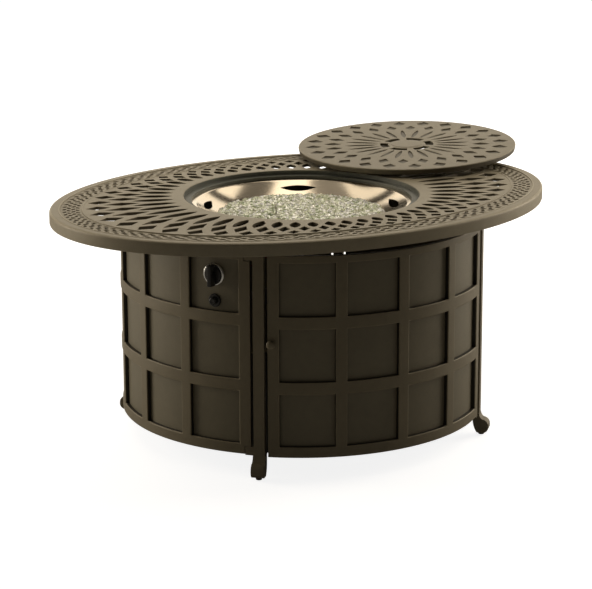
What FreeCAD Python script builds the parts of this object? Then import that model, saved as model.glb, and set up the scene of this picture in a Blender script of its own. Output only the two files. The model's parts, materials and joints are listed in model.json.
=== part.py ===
import FreeCAD, Part
import math
import os

# Oval gas fire pit table, in millimetres.
# The origin is on the floor under the middle of the burner, +X runs along the
# long axis of the top, -Y is the side with the door, and +Z is up.

# Table top, an oval casting with a round burner opening
top_length = 1394.0
top_width = 1040.0
table_height = 634.0
rim_height = 34.0
rim_wall = 9.0
rim_round = 7.0
plate_thick = 8.0
opening_radius = 312.5
ring_width = 22.0
ring_height = 12.0
edge_band = 28.0
lace_band = 56.0
lace_depth = 1.5
bead_width = 6.0

# Lattice of the top: slots by the opening, then two rows of diamonds that reach
# in between them. A level is the part of the way from the inner ring to the lace.
lattice_count = 52
slot_width = 27.0
slot_levels = (0.03, 0.50)
inner_diamond_levels = (0.40, 0.61, 0.80)
outer_diamond_levels = (0.72, 0.87, 0.985)
diamond_share = 0.58

# Collar that lines the opening and carries the lid
collar_wall = 1.2
collar_gap = 0.3
collar_top_drop = 1.0
ledge_width = 19.0
ledge_thick = 2.5
lip_height = 8.0
lip_wall = 1.5
collar_flange = 18.0

# Spun fire bowl
bowl_inset = 13.0
bowl_flange = 20.0
bowl_sheet = 1.8
bowl_upper_run = 57.0
bowl_waist_depth = 33.0
bowl_lower_run = 72.0
bowl_depth = 68.0
bowl_bow = 1.5
vent_angles = (-21.0, 60.0, 141.0)
vent_length = 100.0
vent_width = 24.0
clip_count = 4
clip_width = 30.0
clip_sheet = 3.0

# Burner, fire glass and electrode
burner_ring_radius = 110.0
burner_tube_radius = 8.0
burner_hub_radius = 14.0
burner_hub_height = 20.0
burner_space = 1.0
glass_crown = 7.0
glass_gap = 0.3
electrode_set_in = 18.0
electrode_angle = -169.0
electrode_radius = 1.7
electrode_above_glass = 30.0
ceramic_radius = 4.5
electrode_foot_radius = 8.0
electrode_foot_thick = 1.5
ceramic_tail = 14.0

# Burner lid, set aside on the top and leaning towards the opening
lid_gap = 1.2
lid_thick = 15.0
lid_plate = 7.0
lid_rim_width = 9.0
lid_rim_round = 3.0
lid_rest = 3.9
lid_bearing = 27.04
lid_lean = 2.47
locating_ring_inset = 29.0
locating_ring_wall = 5.0
locating_ring_depth = 10.0
lid_petals = 24
relief_depth = 2.5
finger_count = 6
finger_span = 42.0
finger_radii = (54.0, 76.0)
petal_start = 16.0
petal_bulge = 52.0
petal_inset = 137.8
petal_width = 13.0
inner_leaf_insets = (125.8, 101.8, 81.8)
outer_leaf_insets = (63.8, 41.8, 25.8)
leaf_share = 0.52

# Drum base: four posts with scroll feet, three fixed panels and a door
side_overhang = 36.0
panel_thick = 11.0
sheet_thick = 2.0
panel_bottom = 62.0
panel_headroom = 42.0
bottom_rail = 28.0
rail_height = 32.0
top_rail = 19.0
window_rows = 3
window_columns = 4
stile_width = 30.0
post_width = 28.0
post_thick = 17.0
post_proud = 3.0
panel_gap = 8.0
post_angles = {"front_left": -135.0, "front_right": -45.0,
               "back_right": 45.0, "back_left": 135.0}
lug_height = 20.0
lug_overlap = 15.0
lug_gap = 1.2

# Feet, seen from the side as a scroll
foot_flare = 2.5
scroll_radius = 19.0
scroll_reach = 6.0
scroll_height = 26.0
foot_base = 7.5
glide_radius = 8.0
glide_stem_radius = 3.0
glide_stem_length = 10.0

# Ring that ties the posts and carries the top, and the shelf for the tank
support_ring_width = 32.0
support_ring_thick = 4.0
top_screw_radius = 4.0
top_screw_head = 7.5
top_screw_share = 1.27
collar_screw_count = 6
collar_screw_radius = 2.2
collar_screw_head = 4.5
collar_screw_reach = 5.0
shelf_thick = 2.5
shelf_height = 64.0
shelf_room = 5.0
shelf_lug = 14.0
shelf_lug_height = 6.0
shelf_screw_radius = 2.2
shelf_screw_head = 4.2
tank_hole_radius = 104.0
tank_hole_reach = 215.0
tank_lip = 7.5

# Door hardware
door_drop = 4.0
hinge_inset = 10.0
pin_radius = 3.0
pin_fit = 0.06
pin_depth = 14.0
bracket_thick = 3.0
bracket_gap = 0.5
pull_angle = -131.2
pull_drop = 229.5
pull_head_radius = 11.0
pull_neck_radius = 5.5
pull_neck_length = 9.0
pull_head_length = 9.0
catch_drop = 114.0
catch_length = 40.0
catch_width = 12.0
catch_depth = 14.0
catch_gap = 0.5
strike_thick = 1.5
strike_seat = 0.2
strike_width = 16.0

# Controls in the top window beside the front left post. The window's spare height
# is shared out above the knob's bezel, between the two and below the igniter's.
control_angle = -149.4
knob_clear_share = 15 / 44
button_clear_share = 8 / 44
bezel_gap = 1.1
bezel_wall = 5.9
bezel_depth = 8.0
knob_radius = 22.5
knob_skirt = 9.0
knob_gap = 1.0
grip_length = 56.0
grip_width = 15.0
grip_depth = 22.0
stem_radius = 4.0
stem_fit = 0.08
stem_hole_radius = 9.0
valve_radius = 17.0
valve_length = 52.0
valve_neck_radius = 12.0
inlet_radius = 7.9
inlet_length = 34.0
igniter_bezel_radius = 17.0
igniter_bezel_depth = 5.0
igniter_barrel_radius = 12.5
igniter_barrel_length = 62.0
button_radius = 9.5
button_fit = 0.1
button_proud = 11.0
button_travel = 4.0
button_stem_length = 20.0
nut_radius = 17.0
nut_length = 6.0

# Gas pipe, mixer and ignition lead
pipe_radius = 5.0
pipe_bend = 36.0
mixer_radius = 13.0
mixer_length = 46.0
mixer_port_radius = 4.5
mixer_flange_radius = 22.0
mixer_flange_thick = 3.0
lead_radius = 1.6
lead_bend = 24.0

UP = FreeCAD.Vector(0, 0, 1)
ORIGIN = FreeCAD.Vector(0, 0, 0)
OVER = 5.0

plate_bottom = table_height - plate_thick
ring_bottom = table_height - ring_height
flange_top = ring_bottom
flange_bottom = flange_top - ledge_thick
collar_inner = opening_radius - collar_gap - collar_wall
ledge_radius = collar_inner - ledge_width
lip_bottom = flange_bottom - lip_height + ledge_thick
bowl_top = lip_bottom - collar_gap
bowl_floor = bowl_top - bowl_depth
bowl_radius = ledge_radius - bowl_inset
bowl_waist_radius = bowl_radius - bowl_upper_run
bowl_floor_radius = bowl_waist_radius - bowl_lower_run
glass_top = bowl_top - bowl_waist_depth + glass_gap
electrode_reach = burner_ring_radius - electrode_set_in
lid_radius = collar_inner - lid_gap
locating_ring_radius = bowl_radius - locating_ring_inset
lid_reach = opening_radius + ring_width + locating_ring_radius + lid_rest
drum_radius = top_width / 2 - side_overhang
panel_inner = drum_radius - panel_thick
sheet_inner = panel_inner - sheet_thick
post_outer = drum_radius + post_proud
post_inner = post_outer - post_thick
panel_top = plate_bottom - panel_headroom
panel_height = panel_top - panel_bottom
window_height = (panel_height - bottom_rail - top_rail
                 - (window_rows - 1) * rail_height) / window_rows
door_bottom = panel_bottom - door_drop
foot_width = post_width + 2 * foot_flare
window_top = panel_top - top_rail
window_bottom = window_top - window_height
bezel_radius = knob_radius + bezel_gap + bezel_wall
spare_height = window_height - 2 * (bezel_radius + igniter_bezel_radius)
knob_height = window_top - bezel_radius - knob_clear_share * spare_height
button_height = window_bottom + igniter_bezel_radius + button_clear_share * spare_height
pull_height = panel_top - pull_drop
catch_height = panel_top - catch_drop
post_top = plate_bottom - support_ring_thick


def point(radius, angle, z=0.0):
    turn = math.radians(angle)
    return FreeCAD.Vector(radius * math.cos(turn), radius * math.sin(turn), z)


def arc_angle(length, radius=drum_radius):
    """Angle in degrees that a length takes on a circle."""
    return math.degrees(length / radius)


def from_lid_edge(insets):
    return [lid_radius - inset for inset in insets]


def turned(shape, angle):
    shape.rotate(ORIGIN, UP, angle)
    return shape


def cylinder(radius, bottom, top, centre=ORIGIN):
    base = FreeCAD.Vector(centre.x, centre.y, bottom)
    return Part.makeCylinder(radius, top - bottom, base)


def tube(outer, inner, bottom, top):
    return cylinder(outer, bottom, top).cut(cylinder(inner, bottom, top))


def sector(inner, outer, start, end, bottom, top):
    """Part of an upright tube between two angles."""
    height = top - bottom
    base = FreeCAD.Vector(0, 0, bottom)
    wedge = Part.makeCylinder(outer, height, base, UP, end - start)
    core = Part.makeCylinder(inner, height, base, UP, end - start)
    return turned(wedge.cut(core), start)


def box(x0, x1, width, bottom, top):
    """Block from x0 to x1, centred on the X axis."""
    corner = FreeCAD.Vector(x0, -width / 2, bottom)
    return Part.makeBox(x1 - x0, width, top - bottom, corner)


def peg(radius, x0, x1, height):
    """Round bar along the X axis."""
    base = FreeCAD.Vector(x0, 0, height)
    return Part.makeCylinder(radius, x1 - x0, base, FreeCAD.Vector(1, 0, 0))


def revolved(edges):
    """Solid turned about the Z axis from a closed outline in the XZ plane."""
    face = Part.Face(Part.Wire(edges))
    solid = face.revolve(ORIGIN, UP, 360)
    return solid


def outline(points):
    """Closed outline in the XZ plane.

    A third value bows the edge to the next point, to the right of its run.
    """
    edges = []
    for this, after in zip(points, points[1:] + points[:1]):
        start = FreeCAD.Vector(this[0], 0, this[1])
        end = FreeCAD.Vector(after[0], 0, after[1])
        if len(this) > 2:
            along = end - start
            middle = (start + end) * 0.5
            side = FreeCAD.Vector(along.z, 0, -along.x).normalize() * this[2]
            edges.append(Part.Arc(start, middle + side, end).toShape())
        else:
            edges.append(Part.LineSegment(start, end).toShape())
    return edges


def oval_prism(inset, bottom, top):
    ellipse = Part.Ellipse(FreeCAD.Vector(0, 0, bottom),
                           top_length / 2 - inset, top_width / 2 - inset)
    face = Part.Face(Part.Wire(ellipse.toShape()))
    return face.extrude(FreeCAD.Vector(0, 0, top - bottom))


def oval_radius(inset, angle):
    """Distance from the centre to an inset oval at an angle."""
    turn = math.radians(angle)
    along = math.cos(turn) / (top_length / 2 - inset)
    across = math.sin(turn) / (top_width / 2 - inset)
    return 1 / math.hypot(along, across)


def lattice_point(angle, level, shift=0.0):
    """Point of the lattice field, moved sideways by a shift in millimetres."""
    inner = opening_radius + ring_width
    outer = oval_radius(edge_band + lace_band + bead_width, angle)
    place = point(inner + level * (outer - inner), angle)
    side = point(shift, angle + 90)
    return place + side


def leaf(tip, left, far, right, bottom, height):
    """Pointed slot with two bowed sides."""
    edges = [Part.Arc(tip, left, far).toShape(), Part.Arc(far, right, tip).toShape()]
    face = Part.Face(Part.Wire(edges))
    face.translate(FreeCAD.Vector(0, 0, bottom))
    return face.extrude(FreeCAD.Vector(0, 0, height))


def kite(corners, bottom, height):
    face = Part.Face(Part.makePolygon(corners + corners[:1]))
    face.translate(FreeCAD.Vector(0, 0, bottom))
    return face.extrude(FreeCAD.Vector(0, 0, height))


def lattice_slot(angle):
    start, end = slot_levels
    middle = (start + end) / 2
    corners = [lattice_point(angle, start), lattice_point(angle, middle, slot_width / 2),
               lattice_point(angle, end), lattice_point(angle, middle, -slot_width / 2)]
    return leaf(*corners, plate_bottom - OVER, plate_thick + 2 * OVER)


def lattice_diamond(angle, levels):
    start, middle, end = levels
    swing = diamond_share * 180 / lattice_count
    corners = [lattice_point(angle, start), lattice_point(angle + swing, middle),
               lattice_point(angle, end), lattice_point(angle - swing, middle)]
    return kite(corners, plate_bottom - OVER, plate_thick + 2 * OVER)


def make_table_top():
    rim_bottom = table_height - rim_height
    top = oval_prism(0, rim_bottom, table_height)
    top = top.makeFillet(rim_round, [edge for edge in top.Edges
                                     if edge.Length > top_width])
    top = top.cut(oval_prism(rim_wall, rim_bottom - OVER, plate_bottom))
    ring = cylinder(opening_radius + ring_width, ring_bottom, plate_bottom)
    top = top.fuse(ring)
    top = top.cut(cylinder(opening_radius, rim_bottom, table_height + OVER))
    lace_floor = table_height - lace_depth
    lace = oval_prism(edge_band, lace_floor, table_height + OVER)
    lace = lace.cut(oval_prism(edge_band + lace_band, lace_floor, table_height + OVER))
    cuts = [lace]
    pitch = 360 / lattice_count
    for index in range(lattice_count):
        cuts.append(lattice_slot(index * pitch))
        cuts.append(lattice_diamond((index + 0.5) * pitch, inner_diamond_levels))
        cuts.append(lattice_diamond(index * pitch, outer_diamond_levels))
    for angle in screw_angles():
        cuts.append(cylinder(top_screw_radius, plate_bottom - OVER,
                             plate_bottom + top_screw_reach(), screw_place(angle)))
    return top.cut(cuts + collar_screw_holes())


def screw_angles():
    """Two screws beside each post, where the lattice has a bar."""
    pitch = 360 / lattice_count
    angles = []
    for post in post_angles.values():
        nearest = (round(post / pitch - 0.5) + 0.5) * pitch
        angles += [nearest - top_screw_share * pitch, nearest + top_screw_share * pitch]
    return angles


def screw_place(angle):
    return point(drum_radius - support_ring_width / 2, angle)


def top_screw_reach():
    return plate_thick / 2


def collar_screw_place(index):
    return point(opening_radius + ring_width / 2,
                 360 * (index + 0.5) / collar_screw_count)


def collar_screw_holes():
    return [cylinder(collar_screw_radius, flange_bottom - OVER,
                     ring_bottom + collar_screw_reach, collar_screw_place(index))
            for index in range(collar_screw_count)]


def make_collar_screws():
    screws = []
    for index in range(collar_screw_count):
        place = collar_screw_place(index)
        head = cylinder(collar_screw_head, flange_bottom - collar_screw_radius,
                        flange_bottom, place)
        shank = cylinder(collar_screw_radius, flange_bottom,
                         ring_bottom + collar_screw_reach, place)
        screws.append(head.fuse(shank).removeSplitter())
    return Part.makeCompound(screws)


def make_collar():
    wall_outer = opening_radius - collar_gap
    wall_inner = collar_inner
    points = [(wall_inner, table_height - collar_top_drop), (wall_inner, flange_top),
              (ledge_radius, flange_top), (ledge_radius, lip_bottom),
              (ledge_radius + lip_wall, lip_bottom), (ledge_radius + lip_wall, flange_bottom),
              (opening_radius + collar_flange, flange_bottom),
              (opening_radius + collar_flange, flange_top),
              (wall_outer, flange_top), (wall_outer, table_height - collar_top_drop)]
    return revolved(outline(points)).cut(collar_screw_holes())


def bowl_side(drop):
    """Corners of the bowl's inner or outer skin, from the rim to the hub hole."""
    return [(bowl_radius, bowl_top - drop, -bowl_bow),
            (bowl_waist_radius, bowl_top - bowl_waist_depth - drop, -bowl_bow),
            (bowl_floor_radius, bowl_floor - drop),
            (burner_hub_radius + burner_space, bowl_floor - drop)]


def make_bowl():
    inner = bowl_side(0)
    flange = bowl_radius + bowl_flange
    back = [(x, z) for x, z, *bow in reversed(bowl_side(bowl_sheet))]
    back = [back[0], (*back[1], bowl_bow), (*back[2], bowl_bow), back[3]]
    points = [(flange, bowl_top)] + inner + back + [(flange, bowl_top - bowl_sheet)]
    bowl = revolved(outline(points))
    bowl = bowl.cut(cylinder(ceramic_radius, bowl_floor - OVER, bowl_floor + OVER,
                             point(electrode_reach, electrode_angle)))
    middle_radius = (bowl_radius + bowl_waist_radius) / 2
    middle_height = bowl_top - bowl_waist_depth / 2
    slope = math.degrees(math.atan2(bowl_waist_depth, bowl_radius - bowl_waist_radius))
    for angle in vent_angles:
        vent = leaf(FreeCAD.Vector(0, -vent_length / 2, 0),
                    FreeCAD.Vector(vent_width / 2, 0, 0),
                    FreeCAD.Vector(0, vent_length / 2, 0),
                    FreeCAD.Vector(-vent_width / 2, 0, 0), -30, 60)
        vent.rotate(ORIGIN, FreeCAD.Vector(0, 1, 0), -slope)
        vent.translate(FreeCAD.Vector(middle_radius, 0, middle_height))
        bowl = bowl.cut(turned(vent, angle))
    return bowl


def make_bowl_clips():
    """Brackets that hang the bowl's flange from the collar."""
    edge = bowl_radius + bowl_flange
    clips = []
    for index in range(clip_count):
        middle = 360 * (index + 0.5) / clip_count
        half = arc_angle(clip_width / 2, edge)
        span = (middle - half, middle + half)
        hook_top = bowl_top - bowl_sheet
        hook = sector(edge - 8, edge + clip_sheet, *span, hook_top - clip_sheet, hook_top)
        riser = sector(edge, edge + clip_sheet, *span, hook_top, flange_bottom)
        clips.append(hook.fuse(riser).removeSplitter())
    return Part.makeCompound(clips)


def burner_height():
    return bowl_floor + burner_tube_radius + glass_gap


def make_burner():
    height = burner_height()
    ring = Part.makeTorus(burner_ring_radius, burner_tube_radius,
                          FreeCAD.Vector(0, 0, height))
    cross = peg(burner_tube_radius * 0.8, -burner_ring_radius, burner_ring_radius, height)
    hub = cylinder(burner_hub_radius, bowl_floor - bowl_sheet, bowl_floor + burner_hub_height)
    return ring.fuse([cross, hub]).removeSplitter()


def burner_room():
    """Space that the glass leaves for the burner and the electrode."""
    low = bowl_floor - OVER
    high = bowl_floor + burner_hub_height + burner_space
    side = burner_tube_radius + burner_space
    ring = tube(burner_ring_radius + side, burner_ring_radius - side, low, high)
    cross = box(-burner_ring_radius, burner_ring_radius, 2 * side, low, high)
    hub = cylinder(burner_hub_radius + burner_space, low, high)
    ceramic = cylinder(ceramic_radius + glass_gap, low, table_height,
                       point(electrode_reach, electrode_angle))
    foot = cylinder(electrode_foot_radius + glass_gap, low,
                    bowl_floor + electrode_foot_thick + glass_gap,
                    point(electrode_reach, electrode_angle))
    return ring.fuse([cross, hub, ceramic, foot])


def make_fire_glass():
    bed = [(x - glass_gap, z + glass_gap, *bow)
           for x, z, *bow in bowl_side(0)[1:3]]
    axis = [(0.0, bowl_floor + glass_gap), (0.0, glass_top + glass_crown, -glass_crown / 4)]
    mound = revolved(outline(bed + axis))
    return mound.cut(burner_room())


def make_electrode():
    place = point(electrode_reach, electrode_angle)
    foot_top = bowl_floor + electrode_foot_thick
    foot = cylinder(electrode_foot_radius, bowl_floor, foot_top, place)
    ceramic = cylinder(ceramic_radius, bowl_floor - ceramic_tail, glass_top - 2, place)
    rod = cylinder(electrode_radius, glass_top - 2,
                   glass_top + glass_crown + electrode_above_glass, place)
    return foot.fuse([ceramic, rod]).removeSplitter()


def lid_relief(radii, angle, swing):
    inner, middle, outer = radii
    corners = [point(inner, angle), point(middle, angle + swing),
               point(outer, angle), point(middle, angle - swing)]
    return kite(corners, -relief_depth, relief_depth + OVER)


def make_lid():
    """The lid is drawn flat with its face at zero, then leaned and moved to its place."""
    lid = cylinder(lid_radius, -lid_thick, 0)
    lid = lid.makeFillet(lid_rim_round, [edge for edge in lid.Edges
                                         if edge.Length > lid_radius])
    lid = lid.cut(cylinder(lid_radius - lid_rim_width, -lid_thick - OVER, -lid_plate))
    ring = tube(locating_ring_radius, locating_ring_radius - locating_ring_wall,
                -lid_thick - locating_ring_depth, -lid_plate)
    lid = lid.fuse(ring)
    cuts = []
    for index in range(finger_count):
        middle = 360 * index / finger_count + 35
        cuts.append(sector(*finger_radii, middle - finger_span / 2,
                           middle + finger_span / 2, -lid_thick, OVER))
    pitch = 360 / lid_petals
    for index in range(lid_petals):
        angle = index * pitch
        inner = finger_radii[1] + petal_start
        middle = finger_radii[1] + petal_bulge
        outer = lid_radius - petal_inset
        bow = point(petal_width / 2, angle + 90)
        cuts.append(leaf(point(inner, angle), point(middle, angle) + bow,
                         point(outer, angle), point(middle, angle) - bow,
                         -relief_depth, relief_depth + OVER))
        swing = leaf_share * pitch / 2
        cuts.append(lid_relief(from_lid_edge(inner_leaf_insets), angle + pitch / 2, swing))
        cuts.append(lid_relief(from_lid_edge(outer_leaf_insets), angle, swing))
    lid = lid.cut(cuts)
    lean = math.radians(lid_lean)
    rise = (collar_gap + (lid_thick + locating_ring_depth) * math.cos(lean)
            + locating_ring_radius * math.sin(lean))
    lid.rotate(ORIGIN, point(1, lid_bearing - 90), lid_lean)
    lid.translate(point(lid_reach, lid_bearing, table_height + rise))
    return lid


def panel_span(middle):
    """Start and end angles of a panel between two posts."""
    half = 45 - arc_angle(post_width / 2 + panel_gap)
    return middle - half, middle + half


def lug_span(side):
    """Angles that a lug covers, measured from its post, on one side."""
    reach = arc_angle(post_width / 2 + panel_gap + lug_overlap)
    return sorted((0.0, side * reach))


def make_panel(middle, bottom, notched):
    start, end = panel_span(middle)
    top = bottom + panel_height
    panel = sector(panel_inner, drum_radius, start, end, bottom, top)
    stile = arc_angle(stile_width)
    window = (end - start - (window_columns + 1) * stile) / window_columns
    cuts = []
    for column in range(window_columns):
        left = start + stile + column * (window + stile)
        for row in range(window_rows):
            low = bottom + bottom_rail + row * (window_height + rail_height)
            cuts.append(sector(panel_inner - OVER, drum_radius + OVER,
                               left, left + window, low, low + window_height))
    if notched:
        notch = arc_angle(lug_overlap + lug_gap)
        for first in (start - 1, end - notch):
            last = first + notch + 1
            cuts.append(sector(panel_inner - OVER, drum_radius + OVER, first, last,
                               bottom - OVER, bottom + lug_height))
            cuts.append(sector(panel_inner - OVER, drum_radius + OVER, first, last,
                               top - lug_height, top + OVER))
    return panel.cut(cuts)


def make_sheet(middle, bottom, notched):
    start, end = panel_span(middle)
    edge = arc_angle(lug_overlap + lug_gap if notched else sheet_thick)
    low = bottom + (lug_height if notched else sheet_thick)
    high = bottom + panel_height - (lug_height if notched else sheet_thick)
    return sector(sheet_inner, panel_inner, start + edge, end - edge, low, high)


def faces_door(angle):
    return -135 < angle < -45


def make_leg(name):
    """Post, scroll foot and lugs as one casting, drawn on the X axis."""
    scroll_x = post_outer + scroll_reach
    scroll_top = scroll_height + scroll_radius
    shoulder = scroll_top + 16
    points = [(post_inner, post_top), (post_inner, scroll_top, 3.0),
              (scroll_x - 12, foot_base), (scroll_x + 8, foot_base, 4.0),
              (scroll_x + scroll_radius, scroll_height, 5.0),
              (scroll_x + 3, scroll_top - 0.5, -2.0), (post_outer, shoulder),
              (post_outer, post_top)]
    face = Part.Face(Part.Wire(outline(points)))
    face.translate(FreeCAD.Vector(0, -foot_width / 2, 0))
    leg = face.extrude(FreeCAD.Vector(0, foot_width, 0))
    for side in (-1, 1):
        low_y = post_width / 2 if side > 0 else -foot_width
        trim = Part.makeBox(4 * post_thick, foot_width - post_width / 2, table_height,
                            FreeCAD.Vector(post_inner - OVER, low_y, shoulder))
        leg = leg.cut(trim)
    lugs = []
    for side in (-1, 1):
        if faces_door(post_angles[name] + side):
            continue
        low, high = lug_span(side)
        lugs.append(sector(panel_inner, drum_radius, low, high,
                           panel_bottom - 2, panel_bottom + lug_height))
        lugs.append(sector(panel_inner, drum_radius, low, high,
                           panel_top - lug_height + lug_gap, panel_top))
    shelf_lug_block = box(post_inner - shelf_lug, post_inner + 2, post_width,
                          shelf_height - shelf_lug_height, shelf_height)
    leg = leg.fuse(lugs + [shelf_lug_block]).removeSplitter()
    stem_hole = cylinder(glide_stem_radius, 0, foot_base + glide_stem_length,
                         point(glide_reach(), 0))
    leg = leg.cut([stem_hole, shelf_screw_hole()])
    return turned(leg, post_angles[name])


def make_glide(angle):
    """Round glide under a foot, with a stem pressed into it."""
    pad = Part.makeCylinder(glide_radius, foot_base)
    stem = Part.makeCylinder(glide_stem_radius, foot_base + glide_stem_length)
    glide = pad.fuse(stem).removeSplitter()
    glide.translate(FreeCAD.Vector(glide_reach(), 0, 0))
    return turned(glide, angle)


def glide_reach():
    return post_outer + scroll_reach - 2


def make_support_ring():
    ring = tube(drum_radius, drum_radius - support_ring_width, post_top, plate_bottom)
    holes = [cylinder(top_screw_radius, post_top, plate_bottom, screw_place(angle))
             for angle in screw_angles()]
    return ring.cut(holes)


def make_top_screws():
    screws = []
    for angle in screw_angles():
        place = screw_place(angle)
        head = cylinder(top_screw_head, post_top - top_screw_radius, post_top, place)
        shank = cylinder(top_screw_radius, post_top,
                         plate_bottom + top_screw_reach(), place)
        screws.append(head.fuse(shank).removeSplitter())
    return Part.makeCompound(screws)


def shelf_screw_hole():
    """Hole for a shelf screw, drawn on the X axis."""
    middle = post_inner - (shelf_room + shelf_lug) / 2
    return cylinder(shelf_screw_radius, shelf_height - shelf_lug_height + 1,
                    shelf_height + shelf_thick, point(middle, 0))


def make_shelf_screws():
    screws = []
    for angle in post_angles.values():
        shank = shelf_screw_hole()
        top = shelf_height + shelf_thick
        head = cylinder(shelf_screw_head, top, top + shelf_screw_radius,
                        shank.CenterOfMass)
        screws.append(turned(head.fuse(shank).removeSplitter(), angle))
    return Part.makeCompound(screws)


def make_shelf():
    """Round shelf with a lipped hole for the foot ring of a tank."""
    tank = FreeCAD.Vector(tank_hole_reach, 0, 0)
    top = shelf_height + shelf_thick
    shelf = cylinder(post_inner - shelf_room, shelf_height, top)
    lip = cylinder(tank_hole_radius + shelf_thick, top, top + tank_lip, tank)
    shelf = shelf.fuse(lip)
    cuts = [cylinder(tank_hole_radius, shelf_height - OVER, table_height, tank)]
    cuts += [turned(shelf_screw_hole(), angle) for angle in post_angles.values()]
    return shelf.cut(cuts).removeSplitter()


def hinge_angle():
    inset = post_width / 2 + panel_gap + hinge_inset
    return post_angles["front_right"] - arc_angle(inset)


def hinge_point():
    return point(drum_radius - panel_thick / 2, hinge_angle())


def make_door_frame():
    frame = make_panel(-90.0, door_bottom, False)
    door_top = door_bottom + panel_height
    hole = pin_radius + pin_fit
    place = hinge_point()
    frame = frame.cut(cylinder(hole, door_bottom - OVER,
                               door_bottom + pin_depth + 1, place))
    return frame.cut(cylinder(hole, door_top - pin_depth - 1, door_top + OVER, place))


def make_hinge_bracket(bottom, leg_width):
    """Plate from the front right leg to a hinge pin."""
    turn = math.degrees(math.asin(leg_width / 2 / panel_inner))
    post_side = post_angles["front_right"] - turn
    plate = sector(panel_inner, drum_radius, hinge_angle() - arc_angle(2.5 * pin_radius),
                   post_side, bottom, bottom + bracket_thick)
    return plate.cut(cylinder(pin_radius, bottom - OVER, bottom + OVER, hinge_point()))


def make_hinge_pins():
    place = hinge_point()
    low = door_bottom - bracket_gap - bracket_thick
    high = door_bottom + panel_height + bracket_gap + bracket_thick
    lower = cylinder(pin_radius, low, door_bottom + pin_depth, place)
    upper = cylinder(pin_radius, high - bracket_thick - bracket_gap - pin_depth, high, place)
    return Part.makeCompound([lower, upper])


def make_door_pull():
    neck = pull_neck_radius
    head = pull_head_radius
    reach = pull_neck_length + pull_head_length
    edges = outline([(0.0, 0.0), (neck + 2, 0.0, -1.5), (neck, pull_neck_length, 0.8),
                     (head, pull_neck_length + 3, 1.0),
                     (head - 1, pull_neck_length + 6, 1.0), (neck / 2, reach),
                     (0.0, reach)])
    pull = revolved(edges)
    pull.rotate(ORIGIN, FreeCAD.Vector(0, 1, 0), 90)
    pull.translate(FreeCAD.Vector(drum_radius, 0, pull_height))
    return turned(pull, pull_angle)


def catch_angle():
    return post_angles["front_left"] + arc_angle(post_width / 2 + panel_gap + strike_width)


def make_catch():
    """Magnet body on an arm from the front left post."""
    face = sheet_inner - strike_seat - strike_thick - catch_gap
    low = catch_height - catch_length / 2
    high = catch_height + catch_length / 2
    middle = catch_angle() - post_angles["front_left"]
    half = arc_angle(catch_width / 2)
    body = sector(face - catch_depth, face, middle - half, middle + half, low, high)
    arm = sector(face - catch_depth, face - catch_depth + bracket_thick,
                 -arc_angle(post_width / 2), middle, low, high)
    foot = box(face - catch_depth, post_inner, post_width, low, high)
    catch = body.fuse([arm, foot]).removeSplitter()
    return turned(catch, post_angles["front_left"])


def make_strike():
    half = arc_angle(strike_width / 2)
    low = catch_height - catch_length / 2
    outer = sheet_inner - strike_seat
    return sector(outer - strike_thick, outer, catch_angle() - half,
                  catch_angle() + half, low, low + catch_length)


def make_control_sheet():
    sheet = make_sheet(180.0, panel_bottom, True)
    stem = peg(stem_hole_radius, sheet_inner - OVER, drum_radius, knob_height)
    barrel = peg(igniter_barrel_radius, sheet_inner - OVER, drum_radius, button_height)
    return sheet.cut([turned(stem, control_angle), turned(barrel, control_angle)])


def make_bezel():
    inner = knob_radius + bezel_gap
    ring = peg(bezel_radius, panel_inner, panel_inner + bezel_depth, knob_height)
    ring = ring.cut(peg(inner, panel_inner, panel_inner + bezel_depth, knob_height))
    return turned(ring, control_angle)


def make_knob():
    start = panel_inner + knob_gap
    skirt = peg(knob_radius, start, start + knob_skirt, knob_height)
    grip = box(start + knob_skirt, start + knob_skirt + grip_depth, grip_width,
               knob_height - grip_length / 2, knob_height + grip_length / 2)
    grip = grip.makeFillet(grip_width / 4, [edge for edge in grip.Edges
                                            if edge.BoundBox.XLength > OVER])
    knob = skirt.fuse(grip).removeSplitter()
    socket = peg(stem_radius, start - OVER, start + knob_skirt, knob_height)
    return turned(knob.cut(socket), control_angle)


def seat(radius):
    """Where a flat round end meets the hollow side of a panel sheet."""
    return math.sqrt(sheet_inner ** 2 - radius ** 2)


def valve_front():
    return seat(valve_neck_radius)


def make_valve_stem():
    stem = peg(stem_radius, valve_front() - valve_length / 2,
               panel_inner + knob_gap + knob_skirt, knob_height)
    return turned(stem, control_angle)


def make_valve():
    """Valve body with its collar on the sheet, the inlet below and the outlet behind."""
    front = valve_front()
    neck = peg(valve_neck_radius, front - 12, front, knob_height)
    body = peg(valve_radius, front - valve_length, front - 12, knob_height)
    middle = front - valve_length / 2 - 4
    inlet = cylinder(inlet_radius, knob_height - inlet_length, knob_height,
                     FreeCAD.Vector(middle, 0, 0))
    outlet = peg(inlet_radius, front - valve_length - 14, front - valve_length, knob_height)
    valve = body.fuse([neck, inlet, outlet]).removeSplitter()
    bore = peg(stem_radius + stem_fit, front - valve_length / 2 - 1, front + OVER,
               knob_height)
    return turned(valve.cut(bore), control_angle)


def make_igniter():
    """Threaded barrel through the sheet with its bezel outside."""
    bezel = peg(igniter_bezel_radius, panel_inner, panel_inner + igniter_bezel_depth,
                button_height)
    back = panel_inner + igniter_bezel_depth - igniter_barrel_length
    barrel = peg(igniter_barrel_radius, back, panel_inner, button_height)
    igniter = bezel.fuse(barrel).removeSplitter()
    depth = button_stem_length + button_travel + 2
    bore = peg(button_radius + button_fit, panel_inner + igniter_bezel_depth - depth,
               drum_radius, button_height)
    return turned(igniter.cut(bore), control_angle)


def make_igniter_nut():
    front = seat(nut_radius)
    nut = peg(nut_radius, front - nut_length, front, button_height)
    nut = nut.cut(peg(igniter_barrel_radius, front - nut_length, front, button_height))
    return turned(nut, control_angle)


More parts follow.
